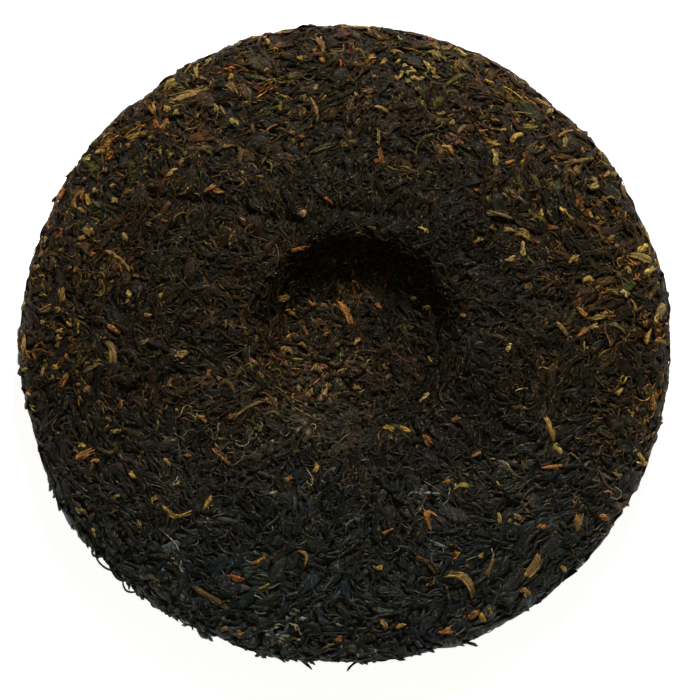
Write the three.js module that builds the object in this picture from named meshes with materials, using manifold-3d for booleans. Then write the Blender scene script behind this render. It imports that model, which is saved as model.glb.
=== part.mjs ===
import * as THREE from "three";
import { ConvexHull } from "three/addons/math/ConvexHull.js";
import { mergeVertices } from "three/addons/utils/BufferGeometryUtils.js";
import Module from "manifold-3d";

// A round cake of pressed, ripened tea leaves. It lies on its domed face, with the hollow that the
// knot of the pressing bag left facing up. Millimetres, +Z up, and the origin is the middle of the
// base, on the surface that the cake rests on.

// Overall sizes
const cakeWidth = 201; // along X, over the pressed mass without its loose ends
const cakeDepth = 198; // along Y
const crownHeight = 24.6; // of the mass beside the hollow
const rimHeight = 11; // where the cake is widest
const restingSpot = 13; // radius of the smooth spot in the middle of the base

// The hollow: its middle, the distance at which its wall is steepest, and how steep that wall is
const hollow = { x: 3.6, y: 0.6, depth: 13.5, reach: 28.4, steepness: 8 };

// How each face rounds off towards the rim: a higher flatness keeps the middle level for longer
const topFace = { rise: crownHeight - rimHeight, flatness: 2.6, roundness: 1.9 };
const baseFace = { rise: -rimHeight, flatness: 5, roundness: 2 };

// The hand-pressed outline bulges a little in three places
const outline = { bulge: 0.0035, bulges: 3, turn: 1.23 };

// Broad lumps of the mass, some 50 mm across
const lumps = { count: 6, shortest: 24, longer: 8, height: 0.2 };

// The pressed leaves that make up the skin. Each has a crest of a few points along its middle and
// a furrow on either side. Most are on the top and the rim, as the base is pressed nearly smooth.
const leaves = { count: 540, longest: 17, shortest: 8, halfWidth: 2.1, crest: 0.75, furrow: 0.65 };
const leafCorners = { crestStep: 4.6, crestGap: 3.0, furrowGap: 2.5, fillGap: 5.2, fills: 4200 };
const topFavour = 1.25;

// The leaf strands that stand out of the mass, from the longest to the shortest
const strands = { count: 16, longest: 21, shortest: 12, width: 2.6, thickness: 1.7, lift: 0.5 };
const looseEnds = { count: 12, length: 9, width: 1.5, thickness: 1.1, lift: 1.0 };

// The largest stalks, buds and leaves that can be told apart on the top: place, length, width,
// the way that they point in degrees from +X, and how far their middle bows out
const markedStrands = [
  { x: -49, y: 77, length: 16, width: 2.2, heading: 17, bow: 0.4 }, // pale stalk by the rim
  { x: -71, y: 24, length: 14, width: 2.8, heading: -38, bow: 1.8 }, // curved bud
  { x: 64, y: -29, length: 13, width: 2.6, heading: -72, bow: -0.9 }, // pale stalk
  { x: 56, y: 31, length: 10, width: 3.2, heading: 84, bow: 0.5 }, // broad yellow bud
  { x: 97, y: 9, length: 10, width: 2.6, heading: 80, bow: -0.5 }, // stalk on the rim
  { x: -52, y: -52, length: 12, width: 2.2, heading: 5, bow: -2.2 }, // bowed golden bud
  { x: 59, y: -68, length: 12, width: 3.2, heading: 55, bow: 0.8 }, // tan leaf
  { x: 27, y: -57, length: 10, width: 2.2, heading: -80, bow: 1.2 }, // hooked bud
  { x: -38, y: -34, length: 11, width: 2.2, heading: -48, bow: 0.2 }, // pink stalk
  { x: 21, y: 84, length: 11, width: 4.5, heading: 10, bow: 0.6 }, // pale crumbled leaf
];

const meridianSteps = 300;
const meanRadius = (cakeWidth + cakeDepth) / 4;
const evenRadius = 76; // of the ball whose skin is as large as the cake's
const goldenAngle = Math.PI * (3 - Math.sqrt(5));
const fullTurn = 2 * Math.PI;
const up = new THREE.Vector3(0, 0, 1);

const wasm = await Module();
wasm.setup();

// Seeded draws between 0 and 1, the same on every run.
function seededDraws(seed) {
  let state = seed;
  return () => {
    state = (state + 0x6d2b79f5) | 0;
    let mixed = Math.imul(state ^ (state >>> 15), 1 | state);
    mixed = (mixed + Math.imul(mixed ^ (mixed >>> 7), 61 | mixed)) ^ mixed;
    return ((mixed ^ (mixed >>> 14)) >>> 0) / 2 ** 32;
  };
}

// The meridian runs from the middle of the base round the rim to the middle of the top. Each of
// its points knows the share of the skin's area below it, so that even directions fall evenly.
function makeMeridian() {
  const points = [];
  for (let i = 0; i <= 2 * meridianSteps; i++) {
    const face = i < meridianSteps ? baseFace : topFace;
    const step = i < meridianSteps ? i : 2 * meridianSteps - i;
    const share = 1 - (1 - step / meridianSteps) ** 3;
    const bulge = (1 - share ** face.flatness) ** (1 / face.roundness);
    points.push({ radius: share * meanRadius, height: rimHeight + face.rise * bulge, area: 0 });
  }
  for (let i = 1; i < points.length; i++) {
    const a = points[i - 1];
    const b = points[i];
    const length = Math.hypot(b.radius - a.radius, b.height - a.height);
    b.area = a.area + Math.PI * (a.radius + b.radius) * length;
  }
  const whole = points.at(-1).area;
  points.forEach((point) => (point.area /= whole));
  return points;
}

const meridian = makeMeridian();

// The meridian at a share of the skin's area, with the slope of its outward side there.
function meridianAt(areaShare) {
  let low = 0;
  let high = meridian.length - 1;
  while (high - low > 1) {
    const middle = (low + high) >> 1;
    if (meridian[middle].area <= areaShare) low = middle;
    else high = middle;
  }
  const a = meridian[low];
  const b = meridian[high];
  const part = (areaShare - a.area) / Math.max(b.area - a.area, 1e-12);
  const length = Math.hypot(b.radius - a.radius, b.height - a.height);
  return {
    radius: THREE.MathUtils.lerp(a.radius, b.radius, part),
    height: THREE.MathUtils.lerp(a.height, b.height, part),
    outward: (b.height - a.height) / length,
    upward: (a.radius - b.radius) / length,
    onTop: low >= meridianSteps,
  };
}

// Height of the broad lumps at a place: a few long waves that cross each other.
function lumpHeight(x, y, z) {
  let height = 0;
  for (let i = 0; i < lumps.count; i++) {
    const heading = goldenAngle * i + 0.7;
    const wavelength = lumps.shortest + lumps.longer * i;
    const along = x * Math.cos(heading) + y * Math.sin(heading) + 1.3 * z;
    height += lumps.height * Math.sin((fullTurn * along) / wavelength + 1.7 * i);
  }
  return height;
}

// The point of the cake's skin that a direction from its middle stands for, raised by a lift.
function skinPoint(direction, lift = 0) {
  const at = meridianAt(Math.min(Math.max((direction.z + 1) / 2, 0), 1));
  const turn = Math.atan2(direction.y, direction.x);
  const edge = (at.radius / meanRadius) ** 2;
  const wander = 1 + outline.bulge * edge * Math.cos(outline.bulges * turn + outline.turn);
  const flatX = at.radius * Math.cos(turn);
  const flatY = at.radius * Math.sin(turn);
  const raise = lift + lumpHeight(flatX, flatY, at.height);
  const radius = (at.radius + raise * at.outward) * wander;
  const point = new THREE.Vector3(
    (radius * Math.cos(turn) * cakeWidth) / (2 * meanRadius),
    (radius * Math.sin(turn) * cakeDepth) / (2 * meanRadius),
    at.height + raise * at.upward,
  );
  if (at.onTop) {
    const away = Math.hypot(point.x - hollow.x, point.y - hollow.y);
    point.z -= hollow.depth * Math.exp(-((away / hollow.reach) ** hollow.steepness));
  }
  return point;
}

// A closed mesh with its shared corners merged, as a solid.
function solidOf(geometry) {
  const bare = geometry.clone();
  bare.deleteAttribute("normal");
  bare.deleteAttribute("uv");
  const merged = mergeVertices(bare);
  const vertProperties = new Float32Array(merged.attributes.position.array);
  const triVerts = new Uint32Array(merged.index.array);
  return new wasm.Manifold(new wasm.Mesh({ numProp: 3, vertProperties, triVerts }));
}

// Two ways along the skin from a direction: round the cake and up its meridian.
function skinWays(direction) {
  const east = new THREE.Vector3().crossVectors(up, direction).normalize();
  return { east, north: new THREE.Vector3().crossVectors(direction, east) };
}

// How many millimetres of skin a small step of the direction covers along a way.
function reachAlong(direction, way) {
  const step = 0.01;
  const moved = direction.clone().addScaledVector(way, step).normalize();
  return skinPoint(moved).distanceTo(skinPoint(direction)) / step;
}

// A walk over the skin: gives the direction that lies a length ahead and a length aside.
function walkFrom(centre, heading) {
  const { east, north } = skinWays(centre);
  const along = east.clone().multiplyScalar(Math.cos(heading));
  along.addScaledVector(north, Math.sin(heading));
  const across = new THREE.Vector3().crossVectors(centre, along);
  const alongReach = reachAlong(centre, along);
  const acrossReach = reachAlong(centre, across);
  return (ahead, aside) => {
    const direction = centre.clone().addScaledVector(along, ahead / alongReach);
    return direction.addScaledVector(across, aside / acrossReach).normalize();
  };
}

// An even spread of directions by golden-angle turns, more of them towards the top if favoured.
function evenDirection(part, index, favour = 1) {
  const height = 1 - 2 * part ** favour;
  const level = Math.sqrt(1 - height ** 2);
  const turn = goldenAngle * index;
  return new THREE.Vector3(level * Math.cos(turn), level * Math.sin(turn), height);
}

// The corners of the skin: crests first, then the furrows beside them, then fills in the gaps.
// A corner that falls too near to one already there is left out.
function skinCorners() {
  const draw = seededDraws(11);
  const crests = [];
  const furrows = [];
  for (let i = 0; i < leaves.count; i++) {
    const centre = evenDirection((i + 0.5) / leaves.count, i, topFavour);
    const swirl = 1.1 * Math.sin(4 * centre.x + 1) + 1.3 * Math.cos(5 * centre.y - 2);
    const walk = walkFrom(centre, swirl + 2.2 * (draw() - 0.5));
    const length = THREE.MathUtils.lerp(leaves.shortest, leaves.longest, draw());
    const steps = Math.round(length / leafCorners.crestStep);
    const high = leaves.crest * (0.5 + 0.7 * draw());
    const low = -leaves.furrow * (0.5 + 0.7 * draw());
    for (let k = 0; k <= steps; k++) {
      const ahead = length * (k / steps - 0.5);
      const atEnd = k === 0 || k === steps;
      crests.push({ direction: walk(ahead, 0.8 * (draw() - 0.5)), lift: atEnd ? 0.2 : high });
      for (const side of k === steps ? [] : [-1, 1]) {
        const aside = side * leaves.halfWidth * (0.85 + 0.3 * draw());
        furrows.push({ direction: walk(ahead + length / steps / 2, aside), lift: low });
      }
    }
  }
  const fills = Array.from({ length: leafCorners.fills }, (_, i) => {
    const direction = evenDirection((i + 0.5) / leafCorners.fills, i, topFavour);
    return { direction, lift: 0.5 * (draw() - 0.7) };
  });
  const kept = [];
  const keep = (corners, gap) => {
    for (const corner of corners) {
      const limit = (gap / evenRadius) ** 2;
      const near = kept.some((k) => k.direction.distanceToSquared(corner.direction) < limit);
      if (!near) kept.push(corner);
    }
  };
  keep(crests, leafCorners.crestGap);
  keep(furrows, leafCorners.furrowGap);
  keep(fills, leafCorners.fillGap);
  return kept;
}

// The pressed mass. The hull of the corners' directions on a ball joins each corner to its
// neighbours, and each is then laid on the skin. The middle of the base is pushed down, so that
// the cut along the surface below leaves it smooth.
function pressedMass() {
  const corners = skinCorners();
  const numbers = new Map(corners.map(({ direction }, i) => [direction, i]));
  const faces = [];
  for (const face of new ConvexHull().setFromPoints(corners.map((c) => c.direction)).faces) {
    let edge = face.edge;
    do {
      faces.push(numbers.get(edge.head().point));
      edge = edge.next;
    } while (edge !== face.edge);
  }
  const points = corners.map(({ direction, lift }) => {
    const point = skinPoint(direction, lift);
    const inSpot = direction.z < 0 && Math.hypot(point.x, point.y) < restingSpot;
    return inSpot ? point.setZ(-1) : point;
  });
  return solidOf(new THREE.BufferGeometry().setFromPoints(points).setIndex(faces));
}

// A strand follows the skin from one pointed end to the other. Its section is a flat diamond that
// turns and narrows along the way, and its middle bows out sideways.
function strand({ centre, heading, length, width, thickness, bow, twist, lift }) {
  const walk = walkFrom(centre, heading);
  const directionAt = (part, aside) => walk((part * length) / 2, aside + bow * (1 - part ** 2));
  const stations = [-1, -0.55, 0, 0.55, 1];
  const corners = [];
  for (const part of stations) {
    const middle = skinPoint(directionAt(part, 0));
    const ahead = skinPoint(directionAt(part + 0.1, 0)).sub(middle).normalize();
    const side = skinPoint(directionAt(part, 1)).sub(middle).normalize();
    const out = new THREE.Vector3().crossVectors(ahead, side).normalize();
    const sideways = new THREE.Vector3().crossVectors(out, ahead);
    const full = 1 - 0.35 * part ** 2;
    const atEnd = Math.abs(part) === 1;
    middle.addScaledVector(out, atEnd ? -0.2 : lift + 0.2 * Math.sin(3 * part + bow));
    for (let k = 0; k < (atEnd ? 1 : 4); k++) {
      const turn = (fullTurn * k) / 4;
      const x = atEnd ? 0 : Math.cos(turn) * full * (width / 2);
      const y = atEnd ? 0 : Math.sin(turn) * full * (thickness / 2);
      const lean = twist * part;
      const corner = middle.clone();
      corner.addScaledVector(sideways, x * Math.cos(lean) - y * Math.sin(lean));
      corner.addScaledVector(out, x * Math.sin(lean) + y * Math.cos(lean));
      corners.push(corner);
    }
  }
  const faces = [];
  const last = corners.length - 1;
  for (let k = 0; k < 4; k++) {
    const next = (k + 1) % 4;
    faces.push(0, 1 + next, 1 + k);
    faces.push(last, last - 4 + k, last - 4 + next);
    for (let ring = 1; ring + 7 < last; ring += 4) {
      faces.push(ring + k, ring + next, ring + 4 + next);
      faces.push(ring + k, ring + 4 + next, ring + 4 + k);
    }
  }
  const geometry = new THREE.BufferGeometry().setFromPoints(corners).setIndex(faces);
  return solidOf(geometry);
}

// Strands spread evenly over the whole skin, the longest first.
function scatteredStrands() {
  const draw = seededDraws(23);
  return Array.from({ length: strands.count }, (_, i) => {
    const smaller = i / strands.count;
    return strand({
      centre: evenDirection((i * 0.618034 + 0.37) % 1, i * 1.9, topFavour),
      heading: fullTurn * draw(),
      length: THREE.MathUtils.lerp(strands.longest, strands.shortest, smaller),
      width: strands.width * (0.8 + 0.5 * draw()),
      thickness: strands.thickness * (0.8 + 0.4 * draw()),
      bow: 2.4 * (draw() - 0.5),
      twist: 0.7 * (draw() - 0.5),
      lift: strands.lift,
    });
  });
}

// Loose ends that stand out of the rim, most of them on the crumbly side towards -Y.
function looseStrands() {
  const draw = seededDraws(37);
  return Array.from({ length: looseEnds.count }, (_, i) => {
    const turn = -Math.PI / 2 + (i % 2 ? 1 : -1) * 0.17 * i + 0.1 * draw();
    const height = -0.12 + 0.24 * draw();
    const level = Math.sqrt(1 - height ** 2);
    return strand({
      centre: new THREE.Vector3(level * Math.cos(turn), level * Math.sin(turn), height),
      heading: fullTurn * draw(),
      length: looseEnds.length * (0.7 + 0.6 * draw()),
      width: looseEnds.width,
      thickness: looseEnds.thickness,
      bow: 2 * (draw() - 0.5),
      twist: 0.5,
      lift: looseEnds.lift * (0.6 + 0.6 * draw()),
    });
  });
}

// The direction whose skin point lies above a place on the top, found by stepping towards it.
function directionAbove(x, y) {
  const direction = new THREE.Vector3(x / meanRadius / 1.5, y / meanRadius / 1.5, 1).normalize();
  for (let i = 0; i < 60; i++) {
    const point = skinPoint(direction);
    direction.x += (x - point.x) / meanRadius / 2;
    direction.y += (y - point.y) / meanRadius / 2;
    direction.normalize();
  }
  return direction;
}

function markedPieces() {
  return markedStrands.map(({ x, y, length, width, heading, bow }) => {
    const centre = directionAbove(x, y);
    const { east } = skinWays(centre);
    const turned = THREE.MathUtils.degToRad(heading) - Math.atan2(east.y, east.x);
    const lift = strands.lift + 0.2;
    return strand({
      centre, heading: turned, length, width, thickness: 1.6, bow, twist: 0.2, lift,
    });
  });
}

// The largest of a solid's closed skins, which fills sealed hollows and drops loose scraps.
function largestBody(solid) {
  return solid.decompose().reduce((a, b) => (a.volume() >= b.volume() ? a : b));
}

function teaCake() {
  const pieces = [...scatteredStrands(), ...looseStrands(), ...markedPieces()];
  const fused = pieces.reduce((mass, piece) => mass.add(piece), pressedMass());
  const below = new THREE.BoxGeometry(2 * cakeWidth, 2 * cakeWidth, rimHeight);
  below.translate(0, 0, -rimHeight / 2);
  const trimmed = largestBody(fused.subtract(solidOf(below)));
  const { numProp, vertProperties, triVerts } = trimmed.getMesh();
  const geometry = new THREE.BufferGeometry();
  geometry.setAttribute("position", new THREE.BufferAttribute(vertProperties, numProp));
  geometry.setIndex(new THREE.BufferAttribute(triVerts, 1));
  geometry.computeBoundingBox();
  const middle = geometry.boundingBox.getCenter(new THREE.Vector3());
  geometry.translate(-middle.x, -middle.y, 0);
  geometry.computeVertexNormals();
  const material = new THREE.MeshStandardMaterial({
    color: 0x2c241a, roughness: 0.7, metalness: 0, flatShading: true,
  });
  const mesh = new THREE.Mesh(geometry, material);
  mesh.name = "tea_cake";
  return mesh;
}

const cake = new THREE.Group();
cake.add(teaCake());

export default cake;
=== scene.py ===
import bpy
import numpy as np
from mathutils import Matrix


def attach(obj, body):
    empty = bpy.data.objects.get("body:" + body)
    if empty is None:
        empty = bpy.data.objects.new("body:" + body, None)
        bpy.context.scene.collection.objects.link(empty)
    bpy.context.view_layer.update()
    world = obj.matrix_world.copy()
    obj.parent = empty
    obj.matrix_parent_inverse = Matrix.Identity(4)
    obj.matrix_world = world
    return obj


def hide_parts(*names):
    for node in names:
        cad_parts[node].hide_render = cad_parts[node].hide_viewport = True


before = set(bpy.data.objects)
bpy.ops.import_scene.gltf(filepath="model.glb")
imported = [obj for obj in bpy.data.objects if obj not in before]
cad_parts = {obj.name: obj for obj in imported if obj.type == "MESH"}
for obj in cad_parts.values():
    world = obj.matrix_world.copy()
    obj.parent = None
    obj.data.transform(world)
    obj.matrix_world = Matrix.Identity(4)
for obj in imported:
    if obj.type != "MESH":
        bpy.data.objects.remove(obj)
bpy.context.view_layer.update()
print("loaded the frame")

# Sizes are in millimetres until a mesh is made, which is in metres. Turns are in radians.
metre = 0.001
goldenAngle = np.pi * (3 - np.sqrt(5))

# The pressed form, with the same named sizes as the solid that it dresses
cake = {
    "width": 201.0,
    "depth": 198.0,
    "crownHeight": 24.6,
    "rimHeight": 11.0,
    "topFlatness": 2.6,
    "topRoundness": 1.9,
    "baseFlatness": 5.0,
    "baseRoundness": 2.0,
    "middle": (0.1, -1.3),  # of the round mass, which the loose ends put a little off the box's middle
    "bulge": 0.0035,
    "bulges": 3,
    "bulgeTurn": 1.23,
    "lumps": 6,
    "shortestLump": 24.0,
    "longerLump": 8.0,
    "lumpHeight": 0.2,
    "evenRadius": 76.0,  # of the ball whose skin is as large as the cake's
}
hollow = {"x": 3.6, "y": 0.6, "depth": 13.5, "reach": 28.4, "steepness": 8.0}
meanRadius = (cake["width"] + cake["depth"]) / 4


# The profile from the middle of the base round the rim to the middle of the top. Its height is
# rimHeight + rise * (1 - share ** flatness) ** (1 / roundness), with share the radius over the mean
# radius. The area is what the profile sweeps up to each point, and ends at 1.
def makeMeridian(steps=300):
    step = np.arange(2 * steps + 1)
    base = step < steps
    share = 1 - (1 - np.where(base, step, 2 * steps - step) / steps) ** 3
    flatness = np.where(base, cake["baseFlatness"], cake["topFlatness"])
    roundness = np.where(base, cake["baseRoundness"], cake["topRoundness"])
    rise = np.where(base, -cake["rimHeight"], cake["crownHeight"] - cake["rimHeight"])
    radius = share * meanRadius
    height = cake["rimHeight"] + rise * (1 - share**flatness) ** (1 / roundness)
    lengths = np.hypot(np.diff(radius), np.diff(height))
    area = np.concatenate([[0], np.cumsum((radius[1:] + radius[:-1]) * lengths)])
    walked = np.concatenate([[0], np.cumsum(lengths)])
    return {
        "steps": steps,
        "radius": radius,
        "height": height,
        "area": area / area[-1],
        "walked": walked / walked[-1],
        "outward": np.diff(height) / lengths,
        "upward": -np.diff(radius) / lengths,
    }


meridian = makeMeridian()


# Height of the broad lumps: sines of a few wavelengths that cross each other.
def lumpHeights(x, y, z):
    height = 0
    for i in range(cake["lumps"]):
        heading = goldenAngle * i + 0.7
        along = x * np.cos(heading) + y * np.sin(heading) + 1.3 * z
        wavelength = cake["shortestLump"] + cake["longerLump"] * i
        height = height + cake["lumpHeight"] * np.sin(2 * np.pi * along / wavelength + 1.7 * i)
    return height


# The skin's point for each direction from the middle of an even ball, raised by a lift. The share
# of the ball's skin below a direction picks the profile's point, so that what lies evenly on the
# ball lies evenly on the cake. The hollow takes depth * exp(-(away / reach) ** steepness) off.
def skinPoints(direction, lift=0.0):
    share = np.clip((direction[..., 2] + 1) / 2, 0, 1)
    turn = np.arctan2(direction[..., 1], direction[..., 0])
    radius = np.interp(share, meridian["area"], meridian["radius"])
    height = np.interp(share, meridian["area"], meridian["height"])
    at = np.clip(np.searchsorted(meridian["area"], share, "right") - 1, 0, 2 * meridian["steps"] - 1)
    raised = lift + lumpHeights(radius * np.cos(turn), radius * np.sin(turn), height)
    edge = (radius / meanRadius) ** 2
    wander = 1 + cake["bulge"] * edge * np.cos(cake["bulges"] * turn + cake["bulgeTurn"])
    radius = (radius + raised * meridian["outward"][at]) * wander
    x = radius * np.cos(turn) * cake["width"] / (2 * meanRadius)
    y = radius * np.sin(turn) * cake["depth"] / (2 * meanRadius)
    z = height + raised * meridian["upward"][at]
    away = np.hypot(x - hollow["x"], y - hollow["y"])
    dip = hollow["depth"] * np.exp(-((away / hollow["reach"]) ** hollow["steepness"]))
    z = z - np.where(at >= meridian["steps"], dip, 0)
    return np.stack([x + cake["middle"][0], y + cake["middle"][1], z], -1)


def unit(vectors):
    return vectors / np.maximum(np.linalg.norm(vectors, axis=-1, keepdims=True), 1e-12)


# The camera of the photograph, which is 700 pixels square
photo = {
    "pixels": 700,
    "pixel": 0.3096,  # millimetres at the rim's height
    "middleAt": (344.5, 342.7),  # of the cake, in pixels
    "elevation": np.radians(84.0),
    "away": 1300.0,
    "sensor": 36.0,
}


# The camera's place and the ways right, up and forward from it. Its target is the middle of the
# cake, moved by as many pixels as that middle is off the picture's own.
def photoView():
    rise = photo["elevation"]
    right = np.array([1.0, 0.0, 0.0])
    upward = np.array([0.0, np.sin(rise), np.cos(rise)])
    forward = np.array([0.0, np.cos(rise), -np.sin(rise)])
    off = (photo["pixels"] / 2 - np.array(photo["middleAt"])) * photo["pixel"]
    target = np.array([*cake["middle"], cake["rimHeight"]]) + off[0] * right - off[1] * upward
    return target - photo["away"] * forward, right, upward, forward


# Where a pixel of the photograph lies on the upper skin, as a direction. The camera's ray through
# it is cut at a height, its distance from the middle picks the profile's point, and that gives the
# next height: a few rounds settle it.
def photoToSkin(pixels):
    place, right, upward, forward = photoView()
    off = (np.asarray(pixels, float) - photo["pixels"] / 2) * photo["pixel"]
    ray = off[..., :1] * right - off[..., 1:] * upward + photo["away"] * forward
    top = slice(None, meridian["steps"] - 1, -1)
    height = np.full(off.shape[:-1], cake["crownHeight"])
    for settle in range(8):
        hit = place + ray * ((height - place[2]) / ray[..., 2])[..., None]
        x = (hit[..., 0] - cake["middle"][0]) / cake["width"]
        y = (hit[..., 1] - cake["middle"][1]) / cake["depth"]
        turn = np.arctan2(y, x)
        radius = np.minimum(2 * meanRadius * np.hypot(x, y), 0.992 * meanRadius)
        level = 2 * np.interp(radius, meridian["radius"][top], meridian["area"][top]) - 1
        flat = np.sqrt(1 - level**2)
        direction = np.stack([flat * np.cos(turn), flat * np.sin(turn), level], -1)
        height = skinPoints(direction)[..., 2]
    return direction


# Two ways along the ball from each direction: round the cake, and up its profile.
def skinWays(direction):
    east = unit(np.cross([0.0, 0.0, 1.0], direction))
    return east, np.cross(direction, east)


# The skin's outward normals: the cross product of two short steps along it.
def skinNormals(direction, step=0.006):
    east, north = skinWays(direction)
    here = skinPoints(direction)
    ahead = skinPoints(unit(direction + step * east)) - here
    aside = skinPoints(unit(direction + step * north)) - here
    return unit(np.cross(ahead, aside))


# Walks from each centre along a path that is given as lengths ahead and aside: a step on the ball
# is the length over what the skin covers there. Returns directions, one row for each centre.
def walkSkin(centre, heading, ahead, aside, step=0.01):
    east, north = skinWays(centre)
    cosine, sine = np.cos(heading)[:, None], np.sin(heading)[:, None]
    along = cosine * east + sine * north
    across = np.cross(centre, along)
    here = skinPoints(centre)
    reachAlong = np.linalg.norm(skinPoints(unit(centre + step * along)) - here, axis=1) / step
    reachAcross = np.linalg.norm(skinPoints(unit(centre + step * across)) - here, axis=1) / step
    moved = (ahead / reachAlong[:, None])[..., None] * along[:, None]
    moved = moved + (aside / reachAcross[:, None])[..., None] * across[:, None]
    return unit(centre[:, None] + moved)


# Even directions by golden-angle turns, shuffled a little, with more of them on the top half: the
# share of the ball above each is part * (1 - favour + favour * part).
def evenDirections(count, draws, favour, jitter=0.012):
    part = (np.arange(count) + 0.5) / count
    height = 1 - 2 * part * (1 - favour + favour * part)
    level = np.sqrt(1 - height**2)
    turn = goldenAngle * np.arange(count)
    even = np.stack([level * np.cos(turn), level * np.sin(turn), height], -1)
    return unit(even + draws.normal(0, jitter, even.shape))


# How far each direction is round the side: 0 on the faces, 1 where the wall is upright.
def rimShare(direction):
    share = np.clip((direction[..., 2] + 1) / 2, 0, 1)
    at = np.clip(np.searchsorted(meridian["area"], share, "right") - 1, 0, 2 * meridian["steps"] - 1)
    return np.abs(meridian["outward"][at]) ** 1.5


# A smooth field from -1 to 1 over the cake, some 20 to 40 mm across, from crossing sines.
def patchField(points, seed):
    x, y, z = points[..., 0], points[..., 1], points[..., 2]
    waves = np.sin(x / 11.3 + 1.1 * np.sin(y / 17 + seed) + seed)
    waves = waves + np.sin(y / 9.1 - x / 23 + 0.09 * z + 1.9 * seed + np.sin(x / 13 - seed))
    return waves / 2


# How the leaves turn round the hollow and at the rim
leafLie = {
    "lipReach": 1.2,  # times the hollow's reach: leaves nearer than this lie along its lip
    "lipTurn": 1.4,  # from the way out of the hollow
    "outTurn": 0.12,
    "ringAway": 34.0,  # where the leaves that point outwards are thickest
    "ringWidth": 24.0,
    "ringFrom": 0.8,  # times the hollow's reach
    "ringWeight": 1.3,
    "rimFrom": 1.4,  # times the hollow's reach
    "rimSpread": 0.6,
}


# The way that leaves lie at each place: along the hollow's lip, out from it round that, a slow swirl
# further off, and along the edge at the rim. The outward way and the swirl are mixed by their
# doubled angles.
def leafHeadings(direction, draws, spread):
    points = skinPoints(direction)
    x, y = points[:, 0], points[:, 1]
    swirl = 1.5 * np.sin(x / 21 + 1.4 * np.sin(y / 27)) + 1.3 * np.cos(y / 18 - x / 45 + 0.8)
    away, reach = np.hypot(x - hollow["x"], y - hollow["y"]), hollow["reach"]
    turned = np.where(away < leafLie["lipReach"] * reach, leafLie["lipTurn"], leafLie["outTurn"])
    outward = np.arctan2(y - hollow["y"], x - hollow["x"]) - turned
    near = np.exp(-(((away - leafLie["ringAway"]) / leafLie["ringWidth"]) ** 2))
    near = near * (away > leafLie["ringFrom"] * reach) * (points[:, 2] > cake["rimHeight"])
    mixed = (1 - near) * np.exp(2j * swirl) + leafLie["ringWeight"] * near * np.exp(2j * outward)
    east, _ = skinWays(direction)
    onFace = np.angle(mixed) / 2 - np.arctan2(east[:, 1], east[:, 0]) + draws.normal(0, spread, len(x))
    atRim = draws.normal(0, leafLie["rimSpread"], len(x))
    share = rimShare(direction) * (away > leafLie["rimFrom"] * reach)
    return onFace * (1 - share) + atRim * share


# Colours are named as the eye reads them, from 0 to 255, and turned into a shader's values.
def shaderColour(red, green, blue):
    value = np.array([red, green, blue]) / 255
    return np.where(value <= 0.04045, value / 12.92, ((value + 0.055) / 1.055) ** 2.4)


leafColours = {
    name: shaderColour(*seen)
    for name, seen in {
        "soot": (26, 24, 19), "pitch": (27, 31, 26), "bark": (52, 41, 28), "umber": (66, 50, 31),
        "plum": (54, 40, 35), "ash": (106, 98, 84), "moss": (55, 51, 29), "russet": (76, 47, 27),
        "tawny": (114, 91, 61), "honey": (146, 112, 65), "gold": (214, 176, 94),
        "amber": (194, 130, 72), "straw": (202, 186, 122), "olive": (138, 126, 54),
        "tan": (177, 148, 104), "rust": (158, 80, 53), "blush": (158, 110, 84),
    }.items()
}


# Puts a mesh together from arrays: corners in millimetres, faces of four and of three corners,
# a map from each face corner to a flat place, and values that the material reads at each corner.
def makePiece(name, corners, quads, triangles, flat, values):
    mesh = bpy.data.meshes.new(name)
    mesh.vertices.add(len(corners))
    mesh.vertices.foreach_set("co", (corners * metre).astype(np.float32).ravel())
    loops = np.concatenate([quads.ravel(), triangles.ravel()]).astype(np.int32)
    starts = np.concatenate([4 * np.arange(len(quads)), 4 * len(quads) + 3 * np.arange(len(triangles))])
    mesh.loops.add(len(loops))
    mesh.loops.foreach_set("vertex_index", loops)
    mesh.polygons.add(len(starts))
    mesh.polygons.foreach_set("loop_start", starts.astype(np.int32))
    mesh.polygons.foreach_set("use_smooth", np.ones(len(starts), bool))
    mesh.update(calc_edges=True)
    mesh.uv_layers.new(name="OFBake").data.foreach_set("uv", flat.astype(np.float32).ravel())
    for key, array in values.items():
        kind = {1: "FLOAT", 3: "FLOAT_VECTOR", 4: "FLOAT_COLOR"}[array.shape[1]]
        field = {1: "value", 3: "vector", 4: "color"}[array.shape[1]]
        mesh.attributes.new(key, kind, "POINT").data.foreach_set(field, array.astype(np.float32).ravel())
    piece = bpy.data.objects.new(name, mesh)
    bpy.context.scene.collection.objects.link(piece)
    return piece


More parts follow.
